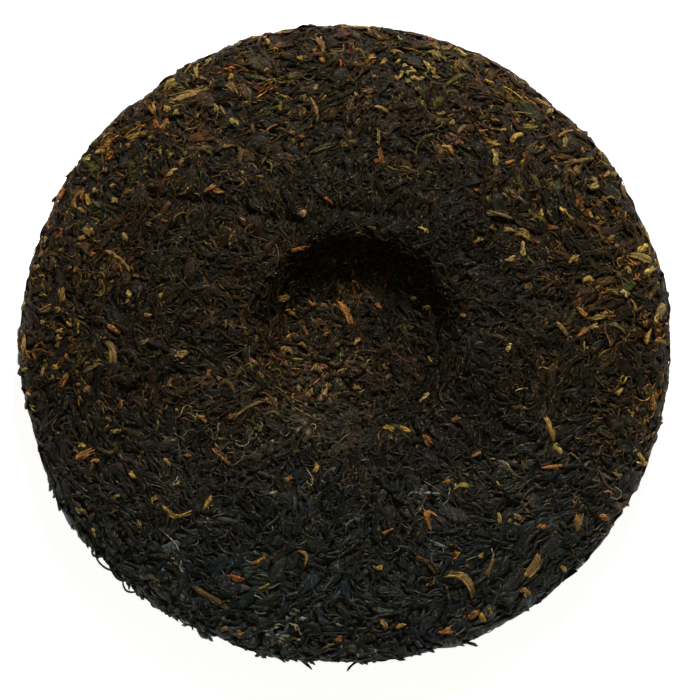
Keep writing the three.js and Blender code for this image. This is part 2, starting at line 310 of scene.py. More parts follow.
# The faces of one strand: rings of section corners joined by faces of four, and a fan to the tip at
# each end. Its corners are numbered ring by ring, and then the two tips.
def strandFaces(rings, sides):
    ring, side = np.meshgrid(np.arange(rings - 1), np.arange(sides), indexing="ij")
    after = (side + 1) % sides
    quads = np.stack(
        [ring * sides + side, ring * sides + after, (ring + 1) * sides + after, (ring + 1) * sides + side], -1
    ).reshape(-1, 4)
    quadFlat = np.stack([[side, ring + 1], [side + 1, ring + 1], [side + 1, ring + 2], [side, ring + 2]])
    quadFlat = np.moveaxis(quadFlat, (0, 1), (-2, -1)).reshape(-1, 2)
    side = np.arange(sides)
    after = (side + 1) % sides
    first = np.full(sides, rings * sides)
    last = (rings - 1) * sides
    triangles = np.concatenate(
        [np.stack([first, after, side], -1), np.stack([first + 1, last + side, last + after], -1)]
    )
    low, high = 0 * side, 0 * side + rings
    fans = [
        np.stack([[side + 0.5, low], [side + 1, low + 1], [side, low + 1]]),
        np.stack([[side + 0.5, high + 1], [side, high], [side + 1, high]]),
    ]
    triangleFlat = np.concatenate([fan.transpose(2, 0, 1).reshape(-1, 2) for fan in fans])
    flat = np.concatenate([quadFlat, triangleFlat]) / [sides, rings + 1]
    return quads, triangles, flat


# The relief that every piece lies over: bumps 5 to 12 mm across, low pleats that run out from the
# hollow, and the furrows that part the leaves in the photograph, each by the pixels it runs through.
packing = {
    "waves": 5,
    "height": 0.1,
    "shortest": 5.0,
    "longer": 1.7,
    "pleats": 9,
    "pleatHeight": 0.28,
    "pleatAway": 9.0,  # from the hollow's lip
    "pleatReach": 16.0,
    "furrowDepth": 1.0,
    "furrowWidth": 1.3,
    "furrows": [
        [(150, 195), (190, 200), (230, 205), (262, 217), (300, 222)],
        [(322, 205), (360, 212), (405, 216)],
        [(395, 130), (412, 145), (430, 160)],
        [(480, 213), (500, 222), (520, 226)],
        [(272, 67), (292, 70)],
        [(325, 69), (350, 71)],
        [(528, 299), (562, 301)],
        [(120, 395), (150, 380), (182, 372)],
        [(470, 400), (500, 425), (535, 440)],
        [(240, 505), (262, 540), (270, 565)],
        [(395, 500), (402, 535)],
        [(95, 300), (130, 312)],
        [(560, 180), (600, 195)],
    ],
}


# How near each point on the upper face is to a furrow: exp(-(distance / furrowWidth) ** 2).
def nearFurrow(points):
    ends = [skinPoints(photoToSkin(line))[:, :2] for line in packing["furrows"]]
    start = np.concatenate([line[:-1] for line in ends])
    way = np.concatenate([np.diff(line, axis=0) for line in ends])
    off = points[..., None, :2] - start
    along = np.clip((off * way).sum(-1) / (way**2).sum(-1), 0, 1)
    distance = np.linalg.norm(off - along[..., None] * way, axis=-1).min(-1)
    return np.exp(-((distance / packing["furrowWidth"]) ** 2)) * (points[..., 2] > cake["rimHeight"])


# Height of that relief: sines that cross, plus pleats by their turn round the hollow, less furrows.
def packedRelief(points):
    x, y, z = points[..., 0], points[..., 1], points[..., 2]
    height = 0
    for i in range(packing["waves"]):
        heading = 1.7 * goldenAngle * i + 0.4
        along = x * np.cos(heading) + y * np.sin(heading) + 0.9 * z
        across = x * np.sin(heading) - y * np.cos(heading)
        bend = 1.6 * np.sin(across / (3.1 + 0.9 * i) + 2.3 * i)
        wavelength = packing["shortest"] + packing["longer"] * i
        height = height + np.sin(2 * np.pi * (along + bend) / wavelength + i)
    away = np.hypot(x - hollow["x"], y - hollow["y"])
    turn = np.arctan2(y - hollow["y"], x - hollow["x"])
    ring = np.exp(-(((away - hollow["reach"] - packing["pleatAway"]) / packing["pleatReach"]) ** 2))
    ring = ring * (z > cake["rimHeight"])
    pleat = np.sin(packing["pleats"] * turn + away / 9 + 1.3 * np.sin(2 * turn))
    height = packing["height"] * height + packing["pleatHeight"] * ring * pleat
    return height - packing["furrowDepth"] * nearFurrow(points)


# Paths on the skin that curl and wiggle: the heading turns by curl * place + wiggle * sin(3 * place
# + phase) as place goes from -1 to 1, and the steps along it are summed up.
def strandPaths(look, draws, centre, heading, length):
    count = len(centre)
    place = np.linspace(-1, 1, look["rings"] + 2)
    phase = draws.uniform(0, 2 * np.pi, (count, 1))
    curl = look["curl"] * draws.normal(0, 1, (count, 1))
    wiggle = look["wiggle"] * draws.uniform(-1, 1, (count, 1))
    bend = curl * place + wiggle * np.sin(3 * place + phase)
    step = length[:, None] / 2 * np.diff(place)
    ahead = np.cumsum(np.concatenate([0 * phase, step * np.cos((bend[:, 1:] + bend[:, :-1]) / 2)], 1), 1)
    aside = np.cumsum(np.concatenate([0 * phase, step * np.sin((bend[:, 1:] + bend[:, :-1]) / 2)], 1), 1)
    ahead -= ahead.mean(1, keepdims=True)
    aside -= aside.mean(1, keepdims=True)
    return walkSkin(centre, heading, ahead, aside)


# How all strands are pressed and spread
pressing = {
    "soft": 0.12,  # how gently a strand is flattened at the press level
    "lowest": (0.03, 0.5),  # above the table, so that no two strands lie in one plane there
    "lowestStep": 0.02,
    "ownPlaces": 90.0,  # how far apart in the grain two strands may be
    "mapMargin": 0.06,  # of a strand's cell in the flat map
}


# Lays strands along paths on the skin. A section of a few corners is carried along each, as wide as
# (1 - |place| ** blunt) ** 0.6, rolled by tilt + twist * place, and raised by lift - dip * |place|
# ** 3, so that the tips go in. Corners are shifted a little at random, per strand and each, as
# creases. What would stand above the press level is flattened against it, softly. A strand that
# stands off rises by stand * (1 - place ** 2) in a loop, or by stand * ((1 + place) / 2) ** 2.
def layStrands(name, look, draws, directions, width, colour):
    count, rings = len(directions), look["rings"]
    section = np.array(look["section"], float)
    sides = len(section)

    def spread(low, high, *shape):
        return draws.uniform(low, high, (count, *(shape or (1,))))

    place = np.linspace(-1, 1, rings + 2)
    path = skinPoints(directions)
    path = skinPoints(directions, packedRelief(path))
    out = skinNormals(directions)
    forward = unit(np.gradient(path, axis=1))
    side = unit(np.cross(forward, out))
    length = np.linalg.norm(np.diff(path, axis=1), axis=2).sum(1)

    phase = spread(0, 2 * np.pi)
    taper = (1 - np.abs(place) ** look["blunt"]).clip(0) ** 0.6
    taper = taper * (1 + look["uneven"] * np.sin(2.3 * place + phase) * spread(0.3, 1))
    roll = look["tilt"] * draws.normal(0, 1, (count, 1)) + look["twist"] * spread(-1, 1) * place
    lift = spread(*look["lift"]) - look["dip"] * np.abs(place) ** 3
    lift = lift + look["wave"] * np.sin(2.6 * place + 2 * phase)
    if "stand" in look:
        shape = 1 - place**2 if look["loop"] else ((1 + place) / 2) ** 2
        lift = lift + spread(*look["stand"]) * shape
    across = (width[:, None] * taper)[..., None] / 2 * section[:, 0]
    high = (spread(*look["thickness"]) * (0.35 + 0.65 * taper))[..., None] / 2 * section[:, 1]
    creases = look["crease"] * spread(-1, 1, 1, sides) + look["crumple"] * spread(-1, 1, rings + 2, sides)
    high = high + creases * taper[..., None]
    cosine, sine = np.cos(roll)[..., None], np.sin(roll)[..., None]
    sideways = across * cosine - high * sine
    raised = lift[..., None] + across * sine + high * cosine
    level, soft = spread(*look["press"])[..., None], pressing["soft"]
    raised = level - soft * np.logaddexp(0, (level - raised) / soft)
    corners = path[:, :, None] + side[:, :, None] * sideways[..., None] + out[:, :, None] * raised[..., None]
    lowest = spread(*pressing["lowest"])[..., None] + pressing["lowestStep"] * (section[:, 1] + 1)
    corners[..., 2] = np.maximum(corners[..., 2], lowest)

    own = spread(0, pressing["ownPlaces"])[..., None] + 0 * across
    lengthwise = (place * length[:, None] / 2)[..., None] + 0 * across
    coords = np.stack([lengthwise, across + 0.3 * high, own], -1)
    fade = 1 + look["fade"] * place * np.sign(spread(-1, 1))
    rim = 1 - look["edgeDark"] * np.abs(section[:, 0])
    shade = (fade[..., None] * rim)[..., None] * colour[:, None, None]
    shade = np.concatenate([shade.clip(0, 1), np.ones((*shade.shape[:3], 1))], -1)

    def ringsThenTips(array):
        inner = array[:, 1:-1].reshape(count, rings * sides, -1)
        return np.concatenate([inner, array[:, [0, -1]].mean(2)], 1).reshape(-1, array.shape[-1])

    quads, triangles, flat = strandFaces(rings, sides)
    shift = ((rings * sides + 2) * np.arange(count))[:, None, None]
    columns = int(np.ceil(np.sqrt(count * look["mapShape"])))
    rows = int(np.ceil(count / columns))
    cell = np.stack([np.arange(count) % columns, np.arange(count) // columns], -1)[:, None]
    flat = (cell + pressing["mapMargin"] + (1 - 2 * pressing["mapMargin"]) * flat) / [columns, rows]
    quadLoops = len(quads) * 4
    flat = np.concatenate([flat[:, :quadLoops].reshape(-1, 2), flat[:, quadLoops:].reshape(-1, 2)])
    values = {"leafColour": ringsThenTips(shade), "leafCoords": ringsThenTips(coords)}
    quads, triangles = (quads + shift).reshape(-1, 4), (triangles + shift).reshape(-1, 3)
    return makePiece(name, ringsThenTips(corners), quads, triangles, flat, values)


# A straight rise from 0 where the value is start to 1 a width further on.
def ramp(value, start, width):
    return np.clip((value - start) / width, 0, 1)


# A soft round or oval spot on either face: exp(-(x off / wide) ** 2 - (y off / deep) ** 2).
def softSpot(points, x, y, wide, deep):
    return np.exp(-(((points[..., 0] - x) / wide) ** 2) - ((points[..., 1] - y) / deep) ** 2)


# 0 on the base and the low wall, and 1 from a little below the rim's widest place on.
def upperShare(points):
    return ramp(points[..., 2], 6, 3)


# What each part of the cake adds to a leaf's lightness, much of it painted light and shade. A spot is its
# amount, x, y, width and depth.
tones = {
    "everywhere": 0.55,
    "rim": 0.3,
    # painted light, lighter towards the far side
    "paintedFarLight": 0.2,
    "nearEdge": 0.16,
    # painted shade, darker by the left edge
    "paintedLeftShade": -0.34,
    # painted shade in a ring beyond the hollow
    "paintedShadeBeyondHollow": -0.5,
    "ringAway": 38.0,  # from the hollow's middle, where it is darkest beyond the hollow
    "ringWidth": 18.0,
    # painted shadow on the hollow's wall, from its foot to its top
    "hollowWallShadow": -0.42,
    "wallFoot": 24.5,
    "wallTop": 33.6,
    # painted shade in the furrows
    "furrows": -0.6,
    # on the hollow's floor: painted light at its near left, painted shade on its right
    "floorLightAndShade": [(1.5, -11, -14, 14, 14), (-0.18, 12, 4, 14, 10)],
    # painted shade to the far right of the hollow, and painted light where the hollow's shadow ends on its
    # floor
    "lightAndShadeSpots": [(-0.26, 43, 20, 14, 20), (0.9, 6, 17, 12, 5)],
    "broadPatches": 0.36,
    "smallPatches": 0.5,
    "darkest": 0.1,
    "all": 1.12,
}


# How light the leaf is at each place: lighter towards the rim and by the near edge; painted light towards the
# far side, at the near left of the hollow's floor and where the hollow's shadow ends on its floor; painted
# shade round the hollow, most beyond it, a painted shadow on its wall, painted shade in the furrows, on the
# right of the hollow's floor, to the far right of the hollow and by the left edge; and all of it in soft
# patches.
def placeTone(points):
    x, y, upper = points[..., 0], points[..., 1], upperShare(points)
    away = np.hypot(x - hollow["x"], y - hollow["y"])
    farRight = np.clip((1.3 * x + y) / 30, -1, 1)
    # painted shade in a ring beyond the hollow, most to its far right, and a painted shadow on its wall
    # except on the near side
    shadeBeyond = np.exp(-(((away - tones["ringAway"]) / tones["ringWidth"]) ** 2)) * (0.45 + 0.55 * farRight)
    wallShadow = ramp(-away, -tones["wallTop"], 1.8) * ramp(away, tones["wallFoot"], 4)
    wallShadow = wallShadow * ramp(np.hypot((x - hollow["x"]) / 20, np.maximum(y - hollow["y"], 0) / 12), 0.2, 1)
    shares = {
        "everywhere": 1,
        "rim": (np.hypot(x, y) / meanRadius) ** 3,
        "paintedFarLight": ramp(y, 20, 65),
        "nearEdge": ramp(-y, 60, 30),
        "paintedLeftShade": ramp(-x, 50, 25) * ramp(-np.abs(y + 5), -60, 50),
        "paintedShadeBeyondHollow": upper * shadeBeyond,
        "hollowWallShadow": upper * wallShadow,
        "furrows": nearFurrow(points),
    }
    tone = sum(tones[part] * share for part, share in shares.items())
    for amount, *spot in tones["floorLightAndShade"]:
        tone = tone + amount * upper * softSpot(points, *spot)
    for amount, *spot in tones["lightAndShadeSpots"]:
        tone = tone + amount * softSpot(points, *spot)
    broad, small = patchField(points, 4.0), patchField(2.7 * points, 1.0)
    patches = np.exp(tones["broadPatches"] * broad + tones["smallPatches"] * small)
    return tones["all"] * np.maximum(tone, tones["darkest"]) * patches


# How the leaf's colour is weighed by place, each as red, green and blue: painted cool light and a painted
# sheen on the near side, painted warm light on the far side and the rim, and redder patches and hollow floor.
tints = {
    "paintedCoolGrey": np.array([0.76, 1.04, 1.45]),
    "paintedCoolSheen": np.array([0.006, 0.015, 0.024]),
    "patches": np.array([0.16, 0.0, -0.28]),
    "floor": np.array([0.14, -0.02, 0.0]),
    "everywhere": np.array([1.04, 1.06, 0.88]),
    "paintedWarmLight": np.array([0.08, -0.16, -0.38]),
    "paintedWarmRim": np.array([0.5, 0.0, -0.72]),
}


# A leaf's colour where it lies. On the near side its brown turns to a blue-black grey with a faint blue sheen
# added, by the look's share: painted cool light and a painted sheen. The far side turns a warmer brown, and
# the rim warmer still, most on the far and right sides: painted warm light. Patches and the hollow's floor
# are redder, and the place's tone, with its painted light and shade, is laid on.
def placeColour(colour, points, paintedCoolShare):
    x, y = points[..., :1], points[..., 1:2]
    # painted cool light and a painted sheen on the near side, by the look's share
    coolLight = paintedCoolShare * ramp(-y, 12, 62)
    # painted warm light: warmer at the rim on the far and right sides, and browner towards the far side
    warmRimLight = np.clip(np.hypot(x, y) / meanRadius - 0.6, 0, 0.4) * ramp(y, -70, 60)
    warmRimLight = warmRimLight * (1 + 0.6 * ramp(x, 0, 60))
    warmLight = ramp(y, -45, 60) * (0.6 + 0.4 * ramp(-x, 0, 60))
    floor = (upperShare(points) * softSpot(points, -6, -12, 20, 20))[..., None]
    grey = (colour @ np.array([0.25, 0.65, 0.1]))[..., None]
    colour = colour * (1 - coolLight) + grey * tints["paintedCoolGrey"] * coolLight
    colour = colour * (1 + tints["patches"] * patchField(1.9 * points, 6.0)[..., None])
    colour = colour * (1 + tints["floor"] * floor)
    tint = tints["everywhere"] + tints["paintedWarmLight"] * warmLight + tints["paintedWarmRim"] * warmRimLight
    return colour * placeTone(points)[..., None] * tint + tints["paintedCoolSheen"] * coolLight


# Scatters one kind of strand over the whole cake. Where favours(direction, points) is given, more
# candidates are made than are kept, and chance weighed by it picks those that stay.
def scatterStrands(name, look, favours=None):
    draws = np.random.default_rng(look["seed"])
    groups = look["count"] // look["bundle"]
    centre = evenDirections(look["candidates"] * groups, draws, look["favour"])
    if favours:
        weight = np.maximum(favours(centre, skinPoints(centre)), 1e-3)
        centre = centre[np.argsort(draws.exponential(1, len(centre)) / weight)[:groups]]
    heading = leafHeadings(centre, draws, look["spread"])
    group = np.repeat(np.arange(groups), look["bundle"])
    count = len(group)
    if look["bundle"] > 1:
        aside = draws.normal(0, look["scatter"], (2, count, 1))
        centre = walkSkin(centre[group], heading[group], 2 * aside[0], aside[1])[:, 0]
        heading = heading[group] + draws.normal(0, 0.35, count)
    shortest, longest = look["length"]
    length = shortest + (longest - shortest) * draws.beta(1.5, 2.8, count)
    narrowest, widest = look["width"]
    width = narrowest + (widest - narrowest) * draws.beta(1.6, 2.6, count)
    names = list(look["colours"])
    odds = np.array([look["colours"][n] for n in names], float)
    picked = draws.choice(len(names), groups, p=odds / odds.sum())[group]
    colour = np.array([leafColours[n] for n in names])[picked]
    tone = look["darkest"] + (1 - look["darkest"]) * np.minimum(draws.exponential(1, (count, 1)), 4)
    own = 1 + look["hues"] * draws.normal(0, 1, (count, 3)).clip(-2, 2)
    colour = placeColour(colour * tone * own, skinPoints(centre), look["paintedCoolShare"])
    directions = strandPaths(look, draws, centre, heading, length)
    piece = layStrands(name, look, draws, directions, width, colour)
    print(name, count, "strands")
    return piece


# A node with its settings: input sockets by name, and otherwise its own properties.
def addNode(tree, kind, **settings):
    node = tree.nodes.new(kind)
    for key, value in settings.items():
        label = key.replace("_", " ")
        if label in node.inputs:
            node.inputs[label].default_value = value
        else:
            setattr(node, key, value)
    return node


# A straight change of range, clamped: what lies from low to high comes out from first to last.
def addRange(tree, source, low, high, first, last):
    node = addNode(tree, "ShaderNodeMapRange", From_Min=low, From_Max=high, To_Min=first, To_Max=last)
    tree.links.new(source, node.inputs["Value"])
    return node.outputs["Result"]


# Arithmetic on two values, each a socket or a plain number.
def addMath(tree, operation, first, second=0.0):
    node = addNode(tree, "ShaderNodeMath", operation=operation)
    for socket, value in zip(node.inputs, (first, second)):
        if isinstance(value, float):
            socket.default_value = value
        else:
            tree.links.new(value, socket)
    return node.outputs[0]


# Noise over coordinates, from 0 to 1.
def addNoise(tree, coords, **settings):
    noise = addNode(tree, "ShaderNodeTexNoise", **settings)
    tree.links.new(coords, noise.inputs["Vector"])
    return noise


# Thin lines where a noise crosses its middle, 1 on them and 0 from the width on: |noise - 0.5|.
def addLines(tree, noise, width):
    off = addMath(tree, "ABSOLUTE", addMath(tree, "SUBTRACT", noise.outputs["Fac"], 0.5))
    return addRange(tree, off, 0.0, width, 1.0, 0.0)


# The place on the object in millimetres.
def addMillimetres(tree):
    place = addNode(tree, "ShaderNodeTexCoord")
    millimetres = addNode(tree, "ShaderNodeMapping", Scale=(1000.0, 1000.0, 1000.0))
    tree.links.new(place.outputs["Object"], millimetres.inputs["Vector"])
    return millimetres.outputs[0]


# Colour a mixed with colour b by a mask, or multiplied by it.
def addMix(tree, mask, first, second, blend="MIX"):
    node = addNode(tree, "ShaderNodeMix", data_type="RGBA", blend_type=blend)
    for label, value in {"Factor": mask, "A": first, "B": second}.items():
        socket = next(s for s in node.inputs if s.name == label and s.enabled)
        if isinstance(value, (float, tuple)):
            socket.default_value = value
        else:
            tree.links.new(value, socket)
    return next(s for s in node.outputs if s.enabled)


# Leaf grain from coordinates that run along, across and by leaf: noise stretched along the leaf for its
# wrinkles, thin lines where that noise crosses its middle, blotches, sparse pale flecks that are partly
# painted glints, and the leaf's midrib. Patches and cracks run on from leaf to leaf, as they lie pressed
# together.
def makeLeafGrain():
    group = bpy.data.node_groups.new("leafGrain", "ShaderNodeTree")
    for label, kind, value in [
        ("Coords", "NodeSocketVector", (0.0, 0.0, 0.0)),
        ("Wrinkles per mm", "NodeSocketFloat", 1.0),
        ("Stretch", "NodeSocketFloat", 0.25),
        ("Blotches per mm", "NodeSocketFloat", 0.5),
    ]:
        group.interface.new_socket(label, in_out="INPUT", socket_type=kind).default_value = value
    for label in ("Height", "Line", "Blotch", "FleckAndGlint", "Midrib", "Shared", "CrackAndShade"):
        group.interface.new_socket(label, in_out="OUTPUT", socket_type="NodeSocketFloat")
    given, made = group.nodes.new("NodeGroupInput"), group.nodes.new("NodeGroupOutput")
    coords, link = given.outputs["Coords"], group.links.new
    squeeze = addNode(group, "ShaderNodeCombineXYZ", Y=1.0, Z=1.0)
    link(given.outputs["Stretch"], squeeze.inputs["X"])
    narrow = addNode(group, "ShaderNodeVectorMath", operation="MULTIPLY")
    link(coords, narrow.inputs[0])
    link(squeeze.outputs[0], narrow.inputs[1])
    stretched = addNode(group, "ShaderNodeVectorMath", operation="MULTIPLY")
    link(coords, stretched.inputs[0])
    stretched.inputs[1].default_value = (0.4, 1.0, 1.0)
    parts = addNode(group, "ShaderNodeSeparateXYZ")
    link(coords, parts.inputs[0])
    millimetres = addMillimetres(group)

    wrinkles = addNoise(group, narrow.outputs[0], Detail=3.0, Roughness=0.55, Distortion=0.5)
    link(given.outputs["Wrinkles per mm"], wrinkles.inputs["Scale"])
    blotches = addNoise(group, coords, Detail=5.0, Roughness=0.65)
    link(given.outputs["Blotches per mm"], blotches.inputs["Scale"])
    # sparse pale flecks, partly painted glints
    fleckAndGlintNoise = addNoise(group, stretched.outputs[0], Detail=1.0, Roughness=0.6, Scale=1.7)
    shared = addNoise(group, millimetres, Detail=4.0, Roughness=0.6, Scale=0.42, Distortion=0.6)
    creases = addNoise(group, millimetres, Detail=3.0, Roughness=0.55, Scale=0.5, Distortion=1.2)
    line, crackAndShade = addLines(group, wrinkles, 0.045), addLines(group, creases, 0.03)
    ridged = addMath(group, "ADD", wrinkles.outputs["Fac"], addMath(group, "MULTIPLY", line, 0.22))
    for label, result in {
        "Height": addMath(group, "SUBTRACT", ridged, addMath(group, "MULTIPLY", crackAndShade, 0.35)),
        "Line": line,
        "Blotch": blotches.outputs["Fac"],
        "FleckAndGlint": addRange(group, fleckAndGlintNoise.outputs["Fac"], 0.63, 0.7, 0.0, 1.0),
        "Midrib": addRange(group, addMath(group, "ABSOLUTE", parts.outputs["Y"]), 0.06, 0.24, 1.0, 0.0),
        "Shared": shared.outputs["Fac"],
        "CrackAndShade": crackAndShade,
    }.items():
        link(result, made.inputs[label])
    return group


leafGrain = makeLeafGrain()

# Where most of each noise's values lie
noiseSpans = {"Blotch": (0.33, 0.67), "Shared": (0.32, 0.68)}


# A leaf's material: its own colour, darker and lighter in blotches, with other colours along midribs, pale
# lines along the wrinkles as painted highlights where the finish's line is pale and dark ones as painted
# shade where it is dark, painted shade in the cracks, pale flecks that are partly painted glints, duller
# where it is light, and with the wrinkles as bumps.
def makeLeafMaterial(name, finish):
    material = bpy.data.materials.new(name)
    material.use_nodes = True
    tree = material.node_tree
    link = tree.links.new
    shader = tree.nodes["Principled BSDF"]
    shader.inputs["Specular IOR Level"].default_value = finish["shine"]
    if "ownCoords" in finish:
        coords = addNode(tree, "ShaderNodeAttribute", attribute_name="leafCoords").outputs["Vector"]
        colour = addNode(tree, "ShaderNodeAttribute", attribute_name="leafColour").outputs["Color"]
    else:
        coords, colour = addMillimetres(tree), (*shaderColour(*finish["colour"]), 1.0)
    grain = addNode(tree, "ShaderNodeGroup", node_tree=leafGrain)
    grain.inputs["Wrinkles per mm"].default_value = finish["wrinkles"]
    grain.inputs["Stretch"].default_value = finish["stretch"]
    grain.inputs["Blotches per mm"].default_value = finish["blotches"]
    link(coords, grain.inputs["Coords"])
    for label, lightness in (("Blotch", "tones"), ("Shared", "shared")):
        by = addRange(tree, grain.outputs[label], *noiseSpans[label], *finish[lightness])
        colour = addMix(tree, 1.0, colour, by, "MULTIPLY")
    # pale lines are painted highlights, dark lines and cracks painted shade, flecks partly painted glints
    for label, mark in (("Line", "line"), ("Midrib", "midrib"), ("FleckAndGlint", "fleckAndGlint"), ("CrackAndShade", "crackAndShade")):
        *paint, share = finish[mark]
        if share:
            mask = addMath(tree, "MULTIPLY", grain.outputs[label], share)
            colour = addMix(tree, mask, colour, (*shaderColour(*paint), 1.0))
    link(colour, shader.inputs["Base Color"])
    roughness = addRange(tree, grain.outputs["Blotch"], *noiseSpans["Blotch"], *finish["rough"])
    link(roughness, shader.inputs["Roughness"])
    bump = addNode(tree, "ShaderNodeBump", Strength=finish["bump"], Distance=finish["bumpDepth"] * metre)
    link(grain.outputs["Height"], bump.inputs["Height"])
    link(bump.outputs[0], shader.inputs["Normal"])
    return material


# Wrinkles and blotches are per millimetre. A line, midrib, fleck or crack is its red, green and blue and then
# how strongly it shows. A pale line is a painted highlight along the wrinkles and a dark one is painted shade
# in them, a crack's dark colour is painted shade, and the flecks are partly painted glints.
broadFinish = {
    "ownCoords": True, "shine": 0.28, "wrinkles": 1.7, "stretch": 0.2, "blotches": 0.35,
    "tones": (0.45, 1.5), "shared": (0.4, 1.55), "line": (14, 12, 8, 0.45), "midrib": (14, 12, 8, 0.25),
    "fleckAndGlint": (170, 142, 90, 0.5), "crackAndShade": (9, 8, 5, 0.75), "rough": (0.38, 0.58), "bump": 1.0,
    "bumpDepth": 0.36,
}
narrowFinish = {
    **broadFinish, "shine": 0.32, "wrinkles": 2.0, "line": (118, 98, 62, 0.28),
    "midrib": (118, 98, 62, 0.0), "rough": (0.34, 0.54),
}
smoothFinish = {
    **broadFinish, "wrinkles": 0.7, "line": (14, 12, 8, 0.25), "fleckAndGlint": (170, 142, 90, 0.2), "bump": 0.5,
}
budFinish = {
    "ownCoords": True, "shine": 0.35, "wrinkles": 2.0, "stretch": 0.3, "blotches": 1.3,
    "tones": (0.12, 1.7), "shared": (0.7, 1.2), "line": (226, 188, 104, 0.35),
    "midrib": (226, 188, 104, 0.0), "fleckAndGlint": (236, 208, 130, 0.4), "crackAndShade": (60, 40, 16, 0.2),
    "rough": (0.6, 0.5), "bump": 0.8, "bumpDepth": 0.4,
}
massFinish = {
    "colour": (36, 31, 22), "shine": 0.5, "wrinkles": 1.3, "stretch": 0.5, "blotches": 0.5,
    "tones": (0.4, 1.6), "shared": (0.35, 1.6), "line": (84, 72, 50, 0.35), "midrib": (84, 72, 50, 0.0),
    "fleckAndGlint": (128, 106, 66, 0.5), "crackAndShade": (9, 8, 5, 0.75), "rough": (0.4, 0.6), "bump": 0.9,
    "bumpDepth": 0.6,
}
broadLeaf = makeLeafMaterial("broadLeaf", broadFinish)
narrowLeaf = makeLeafMaterial("narrowLeaf", narrowFinish)
smoothLeaf = makeLeafMaterial("smoothLeaf", smoothFinish)
goldenBud = makeLeafMaterial("goldenBud", budFinish)
massInGaps = makeLeafMaterial("massInGaps", massFinish)
print("made the leaf materials")

# The mass under the leaves: a grid of turns round the cake by steps along its profile, laid on the
# skin a little inside it. Its relief is a mesh of ridges, 1 - |sine|, that cross in many directions.
core = {
    "around": 380,
    "along": 150,
    "inset": 0.3,
    "ridges": 9,
    "ridgeHeight": 0.11,
    "narrowestRidge": 3.2,
    "widerRidge": 0.45,
    "lowest": 0.55,  # above the table
}


# Height of the mass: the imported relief, and ridges in the directions of the golden angle.
def coreRelief(points):
    height = packedRelief(points)
    x, y, z = points[..., 0], points[..., 1], points[..., 2]
    for i in range(core["ridges"]):
        heading = goldenAngle * i + 0.2
        along = x * np.cos(heading) + y * np.sin(heading) + (1 - 0.3 * i) * z
        bend = 2.2 * np.sin((x * np.sin(heading) - y * np.cos(heading)) / (7 + 2 * i) + i)
        width = core["narrowestRidge"] + core["widerRidge"] * i
        height = height + core["ridgeHeight"] * (1 - 2 * np.abs(np.sin(np.pi * (along + bend) / width)))
    return height


def makeCore():
    around, along = core["around"], core["along"]
    share = np.interp(np.linspace(0, 1, along + 2), meridian["walked"], meridian["area"])
    turn = 2 * np.pi * np.arange(around) / around
    level = 2 * share[1:-1, None] - 1 + 0 * turn
    flat = np.sqrt(1 - level**2)
    direction = np.stack([flat * np.cos(turn), flat * np.sin(turn), level], -1)
    poles = unit(np.array([[1e-4, 0, -1.0], [1e-4, 0, 1.0]]))
    direction = np.concatenate([direction.reshape(-1, 3), poles])
    corners = skinPoints(direction, coreRelief(skinPoints(direction)) - core["inset"])
    corners[:, 2] = np.maximum(corners[:, 2], core["lowest"])
    return makePiece("pressedMass", corners, *strandFaces(along, around), {})


def finishPiece(piece, material):
    piece.data.materials.append(material)
    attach(piece, "root")


mass = makeCore()
finishPiece(mass, massInGaps)
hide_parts("tea_cake")
print("made the pressed mass,", len(mass.data.polygons), "faces")

# Odds of each colour among dark leaves
darkMix = {
    "soot": 3.8, "pitch": 1.6, "bark": 3.0, "umber": 1.3, "plum": 0.9, "ash": 0.5, "moss": 1.3,
    "russet": 0.45, "tawny": 0.25,
}

# What most kinds of strand share
anyStrand = {
    "bundle": 1, "candidates": 2, "favour": 0.45, "wave": 0.08, "fade": 0.3, "darkest": 0.25, "hues": 0.2,
    # share of the painted cool light and sheen that the near side lays on a strand
    "paintedCoolShare": 0.9,
}
# Broad leaves pressed flat, with lengthwise folds
broadLeaves = {
    **anyStrand, "seed": 11, "candidates": 1, "count": 2500, "favour": 0.3, "rings": 6, "spread": 0.65,
    "mapShape": 2.0, "length": (5.0, 17.0), "width": (1.8, 5.2), "thickness": (0.2, 0.5), "blunt": 2.6,
    "uneven": 0.45, "curl": 0.4, "wiggle": 0.7, "tilt": 0.09, "twist": 0.2, "lift": (-0.12, 0.3),
    "dip": 0.5, "crease": 0.16, "crumple": 0.06, "press": (0.3, 0.46), "edgeDark": 0.15, "darkest": 0.35,
    "section": [(-1, -0.5), (-0.5, 0.6), (-0.1, 0.1), (0.4, 0.75), (1, -0.4), (0, -1.4)],
    "hues": 0.18, "colours": darkMix,
}
# Rolled and twisted leaves
rolledLeaves = {
    **anyStrand, "seed": 12, "candidates": 1, "count": 3600, "favour": 0.35, "rings": 5, "spread": 0.6,
    "mapShape": 3.0, "length": (6.0, 19.0), "width": (0.8, 2.5), "thickness": (0.35, 0.7), "blunt": 1.9,
    "uneven": 0.4, "curl": 0.6, "wiggle": 0.9, "tilt": 0.3, "twist": 0.7, "lift": (-0.15, 0.3),
    "dip": 0.6, "crease": 0.12, "crumple": 0.06, "press": (0.36, 0.52), "edgeDark": 0.1,
    "section": [(-1, -0.2), (-0.3, 0.85), (1, 0.3), (0.1, -1.2)], "colours": darkMix,
}
